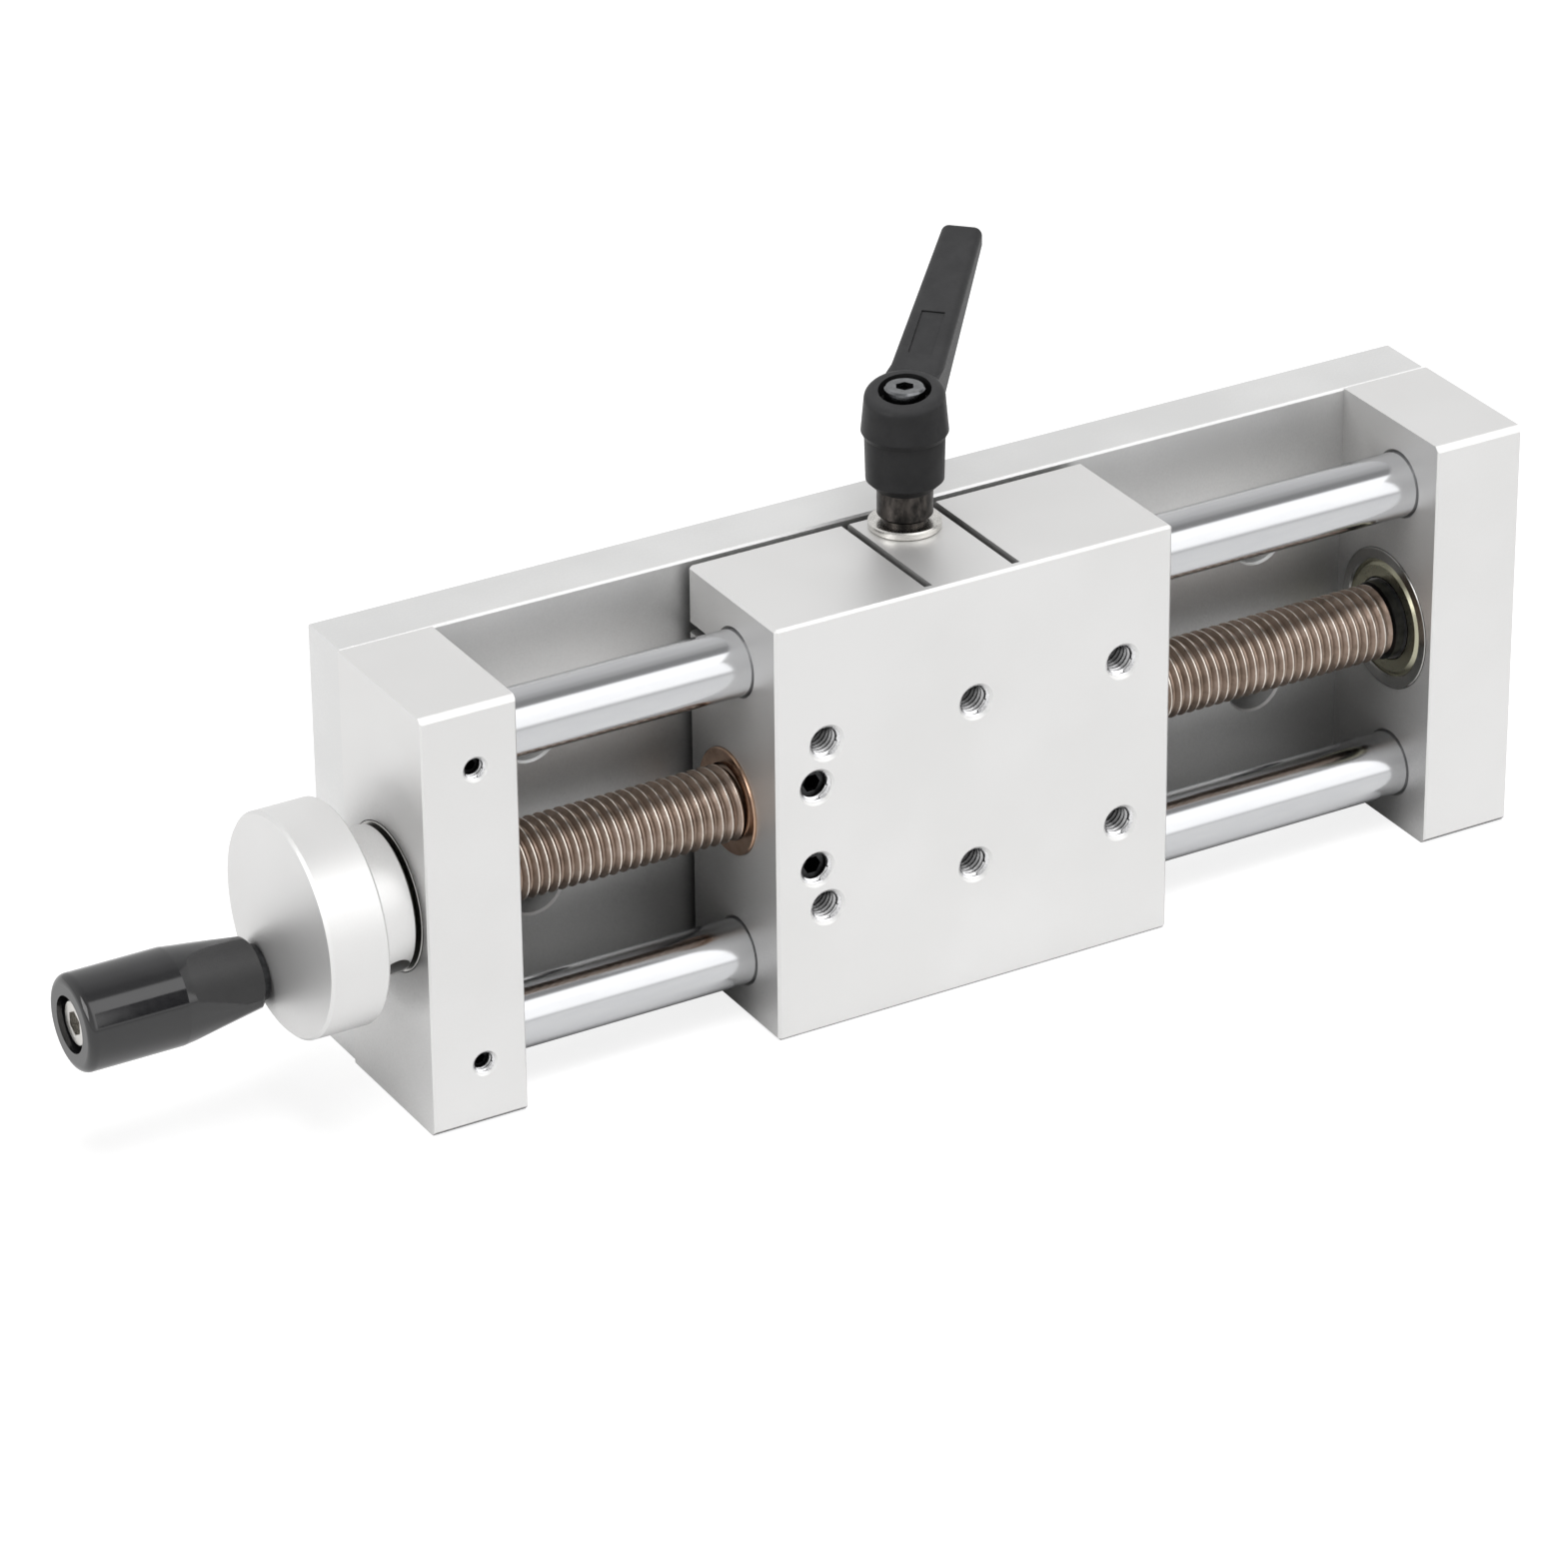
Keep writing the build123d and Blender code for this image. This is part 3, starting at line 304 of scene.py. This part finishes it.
def noise(tree, vector, size_mm, detail=2.0, roughness=0.5):
    """A noise whose blobs are about size_mm across; returns its 0 to 1 value."""
    node = tree.nodes.new("ShaderNodeTexNoise")
    node.inputs["Scale"].default_value = 1.0 / (size_mm * MM)
    node.inputs["Detail"].default_value = detail
    node.inputs["Roughness"].default_value = roughness
    link(tree, vector, node.inputs["Vector"])
    return node.outputs[0]


def bump(tree, height, depth_mm):
    """A bump node for a height in 0 to 1."""
    node = tree.nodes.new("ShaderNodeBump")
    node.inputs["Distance"].default_value = depth_mm * MM
    node.inputs["Strength"].default_value = 1.0
    link(tree, height, node.inputs["Height"])
    return node.outputs[0]


def empty_material(name):
    """A material with only an output; returns the material, its tree and the output's socket."""
    material = bpy.data.materials.new(name)
    material.use_nodes = True
    tree = material.node_tree
    tree.nodes.clear()
    output = tree.nodes.new("ShaderNodeOutputMaterial")
    return material, tree, output.inputs[0]


def new_material(name, metallic, specular=0.5):
    """A Principled material; returns the material, its tree and its shader."""
    material = bpy.data.materials.new(name)
    material.use_nodes = True
    tree = material.node_tree
    shader = tree.nodes["Principled BSDF"]
    shader.inputs["Metallic"].default_value = metallic
    shader.inputs["Specular IOR Level"].default_value = specular
    return material, tree, shader


# Studio
def background(tree, level):
    """A white background shader of one level."""
    shader = tree.nodes.new("ShaderNodeBackground")
    shader.inputs[0].default_value = (1, 1, 1, 1)
    shader.inputs[1].default_value = level
    return shader


def mirrored_studio(tree):
    """What metal reflects: a bright front wall under a dark ceiling, darker at the handwheel."""
    coordinates = tree.nodes.new("ShaderNodeTexCoord")
    split = tree.nodes.new("ShaderNodeSeparateXYZ")
    link(tree, coordinates.outputs["Generated"], split.inputs[0])
    to_front = math_node(tree, "MULTIPLY", split.outputs[1], -1.0)
    angle = math_node(tree, "ARCTAN2", split.outputs[2], to_front)
    turn = math_node(tree, "MULTIPLY_ADD", angle, 0.5 / math.pi, 0.5)
    dark_side = ramp_node(tree, turn, grey_stops(DARK_SIDE_STOPS, STUDIO_LEVEL))
    bright_side = ramp_node(tree, turn, grey_stops(STUDIO_STOPS, STUDIO_LEVEL))
    lit_side = spread(tree, split.outputs[0], 0.0, 1.0, DARK_SIDE_FROM, DARK_SIDE_TO)
    studio = background(tree, STUDIO_LEVEL)
    link(tree, mix_colours(tree, dark_side, bright_side, factor=lit_side), studio.inputs[0])
    return studio


def setup_world():
    """A white backdrop for the camera, soft light, and a studio that only reflections show."""
    world = bpy.data.worlds.new("studio")
    bpy.context.scene.world = world
    world.use_nodes = True
    tree = world.node_tree
    tree.nodes.clear()
    output = tree.nodes.new("ShaderNodeOutputWorld")
    path = tree.nodes.new("ShaderNodeLightPath")
    shiny = math_node(
        tree, "MAXIMUM", path.outputs["Is Glossy Ray"], path.outputs["Is Transmission Ray"]
    )
    lit = tree.nodes.new("ShaderNodeMixShader")
    link(tree, shiny, lit.inputs[0])
    link(tree, background(tree, LIGHT_LEVEL).outputs[0], lit.inputs[1])
    link(tree, mirrored_studio(tree).outputs[0], lit.inputs[2])
    seen = tree.nodes.new("ShaderNodeMixShader")
    link(tree, path.outputs["Is Camera Ray"], seen.inputs[0])
    link(tree, lit.outputs[0], seen.inputs[1])
    link(tree, background(tree, BACKDROP_LEVEL).outputs[0], seen.inputs[2])
    link(tree, seen.outputs[0], output.inputs[0])


def stage_sheet(name, corners, material, only_mirrored=False):
    """A flat sheet of the studio; an only_mirrored one shows in nothing but shiny surfaces."""
    mesh = bpy.data.meshes.new(name)
    mesh.from_pydata(corners, [], [(0, 1, 2, 3)])
    mesh.materials.append(material)
    sheet = bpy.data.objects.new(name, mesh)
    bpy.context.scene.collection.objects.link(sheet)
    if only_mirrored:
        sheet.visible_camera = False
        sheet.visible_diffuse = False
        sheet.visible_transmission = False
        sheet.visible_volume_scatter = False
        sheet.visible_shadow = False


def setup_floor():
    """A pale floor under the part that keeps its soft shadow; its glow for reflections is darkened
    near the part by painted shade.
    """
    material, tree, surface = empty_material("floor")
    matt = tree.nodes.new("ShaderNodeBsdfDiffuse")
    matt.inputs[0].default_value = (*FLOOR_COLOUR, 1)
    glow = tree.nodes.new("ShaderNodeEmission")
    path = tree.nodes.new("ShaderNodeLightPath")
    seen = math_node(tree, "MULTIPLY", path.outputs["Is Camera Ray"], FLOOR_LIFT)
    mirrored = math_node(tree, "MULTIPLY", path.outputs["Is Glossy Ray"], FLOOR_GLEAM)
    # painted shade: the reflected glow darkens near the part
    shade = shade_by_openness(tree, FLOOR_SHADE_REACH, FLOOR_SHADE)
    shaded = math_node(tree, "MULTIPLY", mirrored, shade)
    link(tree, math_node(tree, "ADD", seen, shaded), glow.inputs[1])
    both = tree.nodes.new("ShaderNodeAddShader")
    link(tree, matt.outputs[0], both.inputs[0])
    link(tree, glow.outputs[0], both.inputs[1])
    link(tree, both.outputs[0], surface)
    bottom, reach = cad_box[0][2], FLOOR_REACH
    corners = [(-reach, -reach), (reach, -reach), (reach, reach), (-reach, reach)]
    stage_sheet("floor", [(x, y, bottom) for x, y in corners], material)


def setup_flag():
    """A black card that the grip mirrors under the softbox."""
    material, tree, surface = empty_material("grip_flag")
    dark = tree.nodes.new("ShaderNodeEmission")
    dark.inputs[0].default_value = (*FLAG_COLOUR, 1)
    link(tree, dark.outputs[0], surface)
    corners = [(x, FLAG_Y, FLAG_BOTTOM) for x in FLAG_BOTTOM_X]
    corners += [(x, FLAG_Y, FLAG_TOP) for x in FLAG_TOP_X]
    stage_sheet("grip_flag", corners, material, only_mirrored=True)


def area_light(name, place, size, power, mirrored=False):
    """A soft rectangular lamp that looks at the part; mirrored lamps show in shiny surfaces."""
    data = bpy.data.lights.new(name, "AREA")
    data.shape = "RECTANGLE"
    data.size, data.size_y = size
    data.energy = power
    lamp = bpy.data.objects.new(name, data)
    lamp.location = place
    direction = Vector(LAMP_TARGET) - Vector(place)
    lamp.rotation_euler = direction.to_track_quat("-Z", "Y").to_euler()
    lamp.visible_glossy = mirrored
    bpy.context.scene.collection.objects.link(lamp)


def setup_lights():
    """A large softbox nearly overhead and a weaker one at the handwheel's side."""
    area_light("top_softbox", TOP_LAMP_PLACE, TOP_LAMP_SIZE, TOP_LAMP_POWER)
    area_light("side_softbox", SIDE_LAMP_PLACE, SIDE_LAMP_SIZE, SIDE_LAMP_POWER, mirrored=True)


# Materials
def finish_material(name, colours, metallic, roughness, grain, blotch_mm, stretch=(1, 1, 1),
                    specular=0.5, shade=None):
    """Two tones in soft blotches, a roughness range and a fine grain of (size, depth) in mm.

    shade is (reach in mm, stops) of painted shade that darkens the tones in narrow places.
    """
    material, tree, shader = new_material(name, metallic, specular)
    vector = object_coordinates(tree, stretch)
    blotch = noise(tree, vector, blotch_mm, 3.0, 0.6)
    tone = ramp_node(tree, blotch, [(0.3, colours[0]), (0.7, colours[1])])
    if shade is not None:
        # painted shade: the tones darken where other surfaces stand close
        tone = mix_colours(tree, tone, shade_by_openness(tree, *shade), "MULTIPLY")
    link(tree, tone, shader.inputs["Base Color"])
    grain_mm, depth_mm = grain
    fine = noise(tree, vector, grain_mm, 2.0, 0.6)
    link(tree, spread(tree, fine, *roughness), shader.inputs["Roughness"])
    link(tree, bump(tree, fine, depth_mm), shader.inputs["Normal"])
    return material


def anodised(name, colours, stops, grain=(0.32, 0.006)):
    """Bead blasted, clear anodised aluminium: a satin metal with a fine even grain, its colour
    darkened in narrow places by painted shade.
    """
    material, tree, shader = new_material(name, 0.80)
    vector = object_coordinates(tree)
    grain_mm, depth_mm = grain
    fine_share = 0.35
    cloud = noise(tree, vector, 26.0, 2.0, 0.5)
    fine = noise(tree, vector, grain_mm, 3.0, 0.7)
    clouded = math_node(tree, "MULTIPLY", cloud, 1.0 - fine_share)
    mixed = math_node(tree, "MULTIPLY_ADD", fine, fine_share, clouded)
    tone = ramp_node(tree, mixed, [(0.36, colours[0]), (0.64, colours[1])])
    # painted shade: the tone darkens where other surfaces stand close
    shade = shade_by_openness(tree, ALUMINIUM_SHADE_REACH, stops)
    link(tree, mix_colours(tree, tone, shade, "MULTIPLY"), shader.inputs["Base Color"])
    link(tree, spread(tree, fine, 0.42, 0.50), shader.inputs["Roughness"])
    link(tree, bump(tree, fine, depth_mm), shader.inputs["Normal"])
    return material


def screw_metal(name, tones, roughness):
    """Rolled screw steel: an oil film in soft patches, turning marks and a few dark specks."""
    material, tree, shader = new_material(name, 1.0)
    plain = object_coordinates(tree)
    around = object_coordinates(tree, (6.0, 1.0, 1.0))
    film = noise(tree, plain, 3.5, 3.0, 0.6)
    tone = ramp_node(tree, film, list(zip((0.30, 0.50, 0.70), tones)))
    specks = noise(tree, plain, 0.7, 2.0, 0.5)
    speck_mask = spread(tree, specks, 0.35, 1.0, 0.22, 0.27)
    link(tree, mix_colours(tree, tone, speck_mask, "MULTIPLY"), shader.inputs["Base Color"])
    marks = noise(tree, around, 0.9, 3.0, 0.7)
    link(tree, spread(tree, marks, *roughness), shader.inputs["Roughness"])
    link(tree, bump(tree, marks, 0.010), shader.inputs["Normal"])
    return material


def tapped_metal():
    """Freshly tapped aluminium: bright cut ridges, darkened down the hole by painted shade."""
    material, tree, shader = new_material("tapped_aluminium_cut_painted_shade", 1.0)
    vector = object_coordinates(tree)
    scores = noise(tree, vector, 0.35, 2.0, 0.6)
    tone = ramp_node(tree, scores, [(0.3, (0.66, 0.66, 0.67)), (0.7, (0.86, 0.86, 0.87))])
    # painted shade: the ridges darken deeper in the hole
    shade = shade_by_openness(tree, THREAD_SHADE_REACH, THREAD_SHADE)
    link(tree, mix_colours(tree, tone, shade, "MULTIPLY"), shader.inputs["Base Color"])
    link(tree, spread(tree, scores, 0.20, 0.32), shader.inputs["Roughness"])
    link(tree, bump(tree, scores, 0.006), shader.inputs["Normal"])
    return material


def aluminium_finishes():
    """The anodised finishes, each with its own painted shade in narrow places; the carriage's
    differs from the blocks' only in that shade.
    """
    satin = ((0.812, 0.808, 0.800), (0.842, 0.838, 0.832))
    rolled = ((0.785, 0.785, 0.780), (0.850, 0.850, 0.845))
    return {
        "aluminium": anodised("anodised_aluminium_blasted_painted_shade", satin, ALUMINIUM_SHADE),
        # the carriage: the blocks' tones with its own painted shade
        "aluminium_carriage_painted_shade": anodised("anodised_carriage_blasted_painted_shade", satin, CARRIAGE_SHADE),
        # the plate: rolled tones, a coarser grain and its own painted shade
        "aluminium_plate": anodised(
            "anodised_plate_blasted_painted_shade", rolled, PLATE_SHADE, grain=(0.45, 0.010)),
        "tapped": tapped_metal(),
    }


def screw_finishes():
    """The lead screw's flanks and its brighter, worn crests."""
    return {
        "screw": screw_metal(
            "screw_steel_oiled",
            ((0.205, 0.153, 0.119), (0.287, 0.216, 0.172), (0.360, 0.283, 0.237)), (0.30, 0.44)),
        "screw_crest": screw_metal(
            "screw_steel_crest",
            ((0.52, 0.46, 0.40), (0.63, 0.57, 0.51), (0.74, 0.69, 0.63)), (0.20, 0.30)),
    }


def metal_finishes():
    """Shafts, bronze, bearings and the small steel parts."""
    return {
        "shaft": finish_material(
            "ground_shaft_chromed", ((0.555, 0.56, 0.575), (0.575, 0.58, 0.59)), 1.0,
            (0.140, 0.155), (0.5, 0.0003), 9.0, (1.0, 6.0, 6.0)),
        "bronze": finish_material(
            "bronze_turned", ((0.385, 0.247, 0.168), (0.475, 0.322, 0.235)), 1.0,
            (0.20, 0.27), (0.4, 0.0008), 2.5),
        "bearing": finish_material(
            "bearing_steel_ground", ((0.38, 0.375, 0.36), (0.43, 0.425, 0.41)), 1.0,
            (0.20, 0.26), (0.4, 0.001), 5.0),
        "shield": finish_material(
            "shield_yellow_zinc", ((0.42, 0.405, 0.30), (0.45, 0.435, 0.325)), 1.0,
            (0.27, 0.30), (0.5, 0.0002), 5.0),
        "steel": finish_material(
            "turned_steel", ((0.60, 0.59, 0.56), (0.74, 0.72, 0.69)), 1.0,
            (0.20, 0.30), (0.25, 0.002), 2.0, (1.0, 1.0, 5.0)),
        "black_steel": finish_material(
            "black_oxide_steel", ((0.028, 0.029, 0.030), (0.052, 0.053, 0.055)), 0.9,
            (0.28, 0.40), (0.3, 0.003), 1.5),
        "head_steel": finish_material(
            "black_oxide_bright", ((0.16, 0.165, 0.172), (0.24, 0.246, 0.255)), 1.0,
            (0.18, 0.26), (0.3, 0.002), 1.5),
        "worn_black_steel": finish_material(
            "black_oxide_worn", ((0.020, 0.019, 0.018), (0.085, 0.076, 0.070)), 1.0,
            (0.26, 0.40), (0.25, 0.004), 1.6, (1.0, 1.0, 0.5)),
    }


def plastic_finishes():
    """The grip, the lever's coating with painted shade, and the bearings' cages."""
    return {
        "grip": finish_material(
            "grip_glossy_black", ((0.010, 0.010, 0.011), (0.013, 0.013, 0.014)), 0.0,
            (0.085, 0.115), (1.6, 0.001), 5.0, specular=0.75),
        "lever": finish_material(
            "lever_matt_coating_painted_shade", ((0.033, 0.033, 0.034), (0.040, 0.040, 0.041)), 0.0,
            (0.36, 0.46), (0.35, 0.010), 4.0, specular=0.12,
            # painted shade: the coating darkens where other surfaces stand close
            shade=(LEVER_SHADE_REACH, LEVER_SHADE)),
        "cage": finish_material(
            "cage_polymer_moulded", ((0.55, 0.48, 0.32), (0.66, 0.58, 0.40)), 0.0,
            (0.45, 0.55), (0.3, 0.003), 2.0),
    }


# The nodes of each finish
FINISH_NODES = {
    "aluminium_plate": ["base_plate"],
    "aluminium": ["left_block", "right_block", "handwheel"],
    "aluminium_carriage_painted_shade": ["carriage_block"],
    "shaft": ["guide_shaft_upper", "guide_shaft_lower"],
    "bronze": ["lead_nut"],
    "black_steel": [
        "plate_screws", "shaft_grub_screws", "nut_grub_screws", "hub_grub_screw",
        "retaining_ring", "left_spacer", "right_spacer", "grip_sleeve",
    ],
    "grip": ["grip"],
    "steel": ["grip_bolt", "clamp_washer"],
    "worn_black_steel": ["clamp_insert"],
    "lever": ["clamp_lever"],
    "head_steel": ["lever_screw"],
}
# The finish of each bearing node, whose name has left_ or right_ before it
BEARING_FINISHES = {
    "bearing_outer_ring": "bearing",
    "bearing_inner_ring": "bearing",
    "bearing_balls": "bearing",
    "bearing_cage": "cage",
    "bearing_shields": "shield",
}


def dress_node(node, material):
    """Give a CAD node one finish."""
    mesh = NODES[node].data
    mesh.materials.clear()
    mesh.materials.append(material)


def dress_nodes(finishes):
    """Give every kept CAD node its finish."""
    for finish, nodes in FINISH_NODES.items():
        for node in nodes:
            dress_node(node, finishes[finish])
    for side in ("left", "right"):
        for name, finish in BEARING_FINISHES.items():
            dress_node(f"{side}_{name}", finishes[finish])


# Pieces
def place_in_scene(name, mesh):
    """An object for a mesh, in the scene."""
    piece = bpy.data.objects.new(name, mesh)
    bpy.context.scene.collection.objects.link(piece)
    return piece


def piece_from_bmesh(name, bm, sharp_degrees, *materials):
    """A mesh object with smooth faces and sharp edges above an angle."""
    limit = math.radians(sharp_degrees)
    bmesh.ops.recalc_face_normals(bm, faces=bm.faces)
    for face in bm.faces:
        face.smooth = True
    for edge in bm.edges:
        if len(edge.link_faces) == 2 and edge.calc_face_angle(0) > limit:
            edge.smooth = False
    mesh = bpy.data.meshes.new(name)
    bm.to_mesh(mesh)
    bm.free()
    for material in materials:
        mesh.materials.append(material)
    return place_in_scene(name, mesh)


def ring_of_points(bm, x, radius, sides):
    """New points on a circle about the X axis."""
    ring = []
    for side in range(sides):
        angle = 2 * math.pi * side / sides
        ring.append(bm.verts.new((x, radius * math.cos(angle), radius * math.sin(angle))))
    return ring


def join_rings(bm, near, far):
    """Faces between two rings, either of which can be a single point."""
    sides = max(len(near), len(far))
    for side in range(sides):
        after = (side + 1) % sides
        if len(near) == 1:
            bm.faces.new((near[0], far[side], far[after]))
        elif len(far) == 1:
            bm.faces.new((near[side], near[after], far[0]))
        else:
            bm.faces.new((near[side], near[after], far[after], far[side]))


def revolve_profile(bm, profile):
    """Turn (x, radius) points about the X axis into a closed solid."""
    rings = []
    for x, radius in profile:
        if radius == 0.0:
            rings.append([bm.verts.new((x, 0, 0))])
        else:
            rings.append(ring_of_points(bm, x, radius, JOURNAL_SIDES))
    for near, far in zip(rings, rings[1:]):
        join_rings(bm, near, far)


def radius_on_profile(profile, share):
    """A thread's radius at a share of its pitch."""
    points = profile + [(1.0, profile[0][1])]
    for (low, low_radius), (high, high_radius) in zip(points, points[1:]):
        if share <= high:
            mix = (share - low) / (high - low)
            return low_radius + (high_radius - low_radius) * mix


def helix_wall(bm, start, end, pitch, profile, sides, trimmed, second=()):
    """A threaded wall round +X from start to end.

    profile is a list of (share of pitch, radius) from share 0; trimmed(x, radius) ends the
    thread. The stretches of the profile that second numbers take the second material.
    """
    turns = math.ceil((end - start) / pitch) + 1
    rows = []
    for side in range(sides + 1):
        angle = 2 * math.pi * side / sides
        row = []
        for lap in range(-1, turns + 1):
            for share, _ in profile:
                x = start + pitch * (lap + share + angle / (2 * math.pi))
                x = min(max(x, start), end)
                place = ((x - start) / pitch - angle / (2 * math.pi)) % 1.0
                radius = trimmed(x, radius_on_profile(profile, place))
                row.append(bm.verts.new((x, radius * math.cos(angle), radius * math.sin(angle))))
        rows.append(row)
    for near, far in zip(rows, rows[1:]):
        for i in range(len(near) - 1):
            face = bm.faces.new((near[i], near[i + 1], far[i + 1], far[i]))
            face.material_index = int(i % len(profile) in second)


def weld(bm):
    """Join points that coincide and drop faces without an area."""
    bmesh.ops.remove_doubles(bm, verts=bm.verts, dist=WELD)
    bmesh.ops.dissolve_degenerate(bm, dist=WELD, edges=bm.edges)


def cap_open_ends(bm):
    """Close every ring of boundary edges with one face."""
    open_edges = [edge for edge in bm.edges if edge.is_boundary]
    bmesh.ops.holes_fill(bm, edges=open_edges, sides=0)


def screw_profile(top):
    """The lead screw's outline over one pitch, its crest edges slightly rounded."""
    bottom = top - SCREW_DEPTH
    shoulder = top - SCREW_EDGE * 1.2
    crest_end = SCREW_FLANK + SCREW_CREST
    points = [
        (0.0, bottom),
        (SCREW_FLANK - SCREW_EDGE, shoulder),
        (SCREW_FLANK + SCREW_EDGE * 0.6, top),
        (crest_end - SCREW_EDGE * 0.6, top),
        (crest_end + SCREW_EDGE, shoulder),
        (crest_end + SCREW_FLANK, bottom),
    ]
    return [(x / SCREW_PITCH, radius) for x, radius in points]


def make_lead_screw(finishes):
    """The lead screw with its real thread between plain journals."""
    low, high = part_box("lead_screw")
    left, right = low.x / MM, high.x / MM
    axis_y = (low.y + high.y) / 2
    radius = (high.z - low.z) / 2 / MM
    left_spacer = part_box("left_spacer")[1]
    start = left_spacer.x / MM
    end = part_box("right_spacer")[0].x / MM
    journal = left_spacer.z / MM - SPACER_WALL - JOURNAL_PLAY
    seat_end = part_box("left_bearing_inner_ring")[0].x / MM

    def chamfered(x, value):
        near_end = min(x - start, end - x)
        if near_end < THREAD_CHAMFER:
            return min(value, radius - THREAD_CHAMFER + near_end)
        return value

    bm = bmesh.new()
    helix_wall(bm, start, end, SCREW_PITCH, screw_profile(radius), SCREW_SIDES, chamfered,
               second=(1, 2, 3))
    weld(bm)
    cap_open_ends(bm)
    revolve_profile(bm, [
        (left, 0.0), (left, WHEEL_SEAT_RADIUS - END_CHAMFER),
        (left + END_CHAMFER, WHEEL_SEAT_RADIUS), (seat_end, WHEEL_SEAT_RADIUS), (seat_end, journal),
        (start + JOURNAL_OVERLAP, journal), (start + JOURNAL_OVERLAP, 0.0),
    ])
    revolve_profile(bm, [
        (end - JOURNAL_OVERLAP, 0.0), (end - JOURNAL_OVERLAP, journal),
        (right - END_CHAMFER, journal), (right, journal - END_CHAMFER), (right, 0.0),
    ])
    bmesh.ops.scale(bm, vec=(MM, MM, MM), verts=bm.verts)
    bmesh.ops.translate(bm, vec=(0, axis_y, 0), verts=bm.verts)
    piece = piece_from_bmesh(
        "lead_screw_threaded", bm, SCREW_SHARP, finishes["screw"], finishes["screw_crest"])
    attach(piece, "screw")
    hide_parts("lead_screw")


def bridge_ends(bm, depth):
    """Join the inner and outer boundary rings at x = 0 and x = depth."""
    open_edges = [edge for edge in bm.edges if edge.is_boundary]
    for station in (0.0, depth):
        edges = [
            edge for edge in open_edges
            if all(abs(vert.co.x - station) < SAME_STATION for vert in edge.verts)
        ]
        bmesh.ops.bridge_loops(bm, edges=edges)


def tapped_thread(name, mouth, depth, diameter, pitch, finish, body):
    """The thread in a tapped hole: a thin sleeve with a helical inner wall, back from its mouth."""
    outer = diameter / 2 - TAP_PLAY
    minor = diameter / 2 - TAP_DEPTH_SHARE * pitch
    root = outer - TAP_WALL
    lead_in = diameter / 2 - minor
    crest_end = TAP_FLANK_SHARE + TAP_CREST_SHARE
    profile = [
        (0.0, root), (TAP_FLANK_SHARE, minor), (crest_end, minor),
        (crest_end + TAP_FLANK_SHARE, root),
    ]

    def countersunk(x, value):
        return outer - TAP_RIM - x if x < lead_in else value

    bm = bmesh.new()
    helix_wall(bm, 0.0, depth, pitch, profile, TAP_SIDES, countersunk)
    near, far = (ring_of_points(bm, x, outer, TAP_SIDES) for x in (0.0, depth))
    join_rings(bm, near, far)
    weld(bm)
    bridge_ends(bm, depth)
    turn = HELIX_AXIS.rotation_difference(INWARD).to_matrix().to_4x4()
    place = Matrix.Translation(mouth) @ turn @ Matrix.Scale(MM, 4)
    bmesh.ops.transform(bm, matrix=place, verts=bm.verts)
    piece = piece_from_bmesh(name, bm, TAP_SHARP, finish)
    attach(piece, body)


def mount_holes(name):
    """The mouths of a bolt pattern's holes, from the record."""
    mount = MOUNTS[name]
    centre = Vector(mount["pos_m"])
    half_x = mount["dims"].get("spacing_x_mm", 0.0) / 2 * MM
    half_z = mount["dims"].get("spacing_y_mm", 0.0) / 2 * MM
    xs = (-half_x, half_x) if half_x else (0.0,)
    return [centre + Vector((x, 0, z)) for x in xs for z in (-half_z, half_z)]


def threads_over_screws(name, screws, screw_radius, block, sink, finish, body, tap):
    """A thread from a block's front face down to each of two set screws, one above the other."""
    low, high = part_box(screws)
    face_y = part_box(block)[0].y
    for index, z in enumerate((low.z + screw_radius * MM, high.z - screw_radius * MM), 1):
        mouth = Vector(((low.x + high.x) / 2, face_y + sink * MM, z))
        depth = (low.y - mouth.y) / MM - SCREW_TOP_PLAY
        tapped_thread(f"{name}_{index}", mouth, depth, finish=finish, body=body, **tap)


def make_tapped_threads(finishes):
    """Threads in the carriage face, over the nut's set screws and over the shafts' set screws."""
    finish = finishes["tapped"]
    places = mount_holes("carriage_corner_holes") + mount_holes("carriage_middle_holes")
    for index, place in enumerate(places, 1):
        mouth = place + Vector((0, CARRIAGE_TAP_SINK * MM, 0))
        tapped_thread(f"face_thread_{index}", mouth, FACE_TAP_DEPTH, finish=finish,
                      body="carriage", **FACE_TAP)
    threads_over_screws("nut_screw_thread", "nut_grub_screws", NUT_SCREW_RADIUS,
                        "carriage_block", CARRIAGE_TAP_SINK, finish, "carriage", NUT_TAP)
    threads_over_screws("shaft_screw_thread", "shaft_grub_screws", SHAFT_SCREW_RADIUS,
                        "left_block", BLOCK_TAP_SINK, finish, "base", SHAFT_TAP)


def make_lever_spring(finishes):
    """The CAD spring in the lever's hub, which the lifted lever squeezes."""
    node = NODES["lever_spring"]
    mesh = node.data.copy()
    mesh.name = "lever_spring_coil"
    mesh.materials.clear()
    mesh.materials.append(finishes["steel"])
    spring = place_in_scene("lever_spring_coil", mesh)
    spring.matrix_world = node.matrix_world.copy()
    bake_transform(spring)
    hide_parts("lever_spring")


setup_camera()
setup_world()
setup_floor()
setup_lights()
setup_flag()
finishes = {
    **aluminium_finishes(), **screw_finishes(), **metal_finishes(), **plastic_finishes(),
}
dress_nodes(finishes)
make_lead_screw(finishes)
make_tapped_threads(finishes)
make_lever_spring(finishes)
bpy.context.scene.view_settings.view_transform = "Standard"
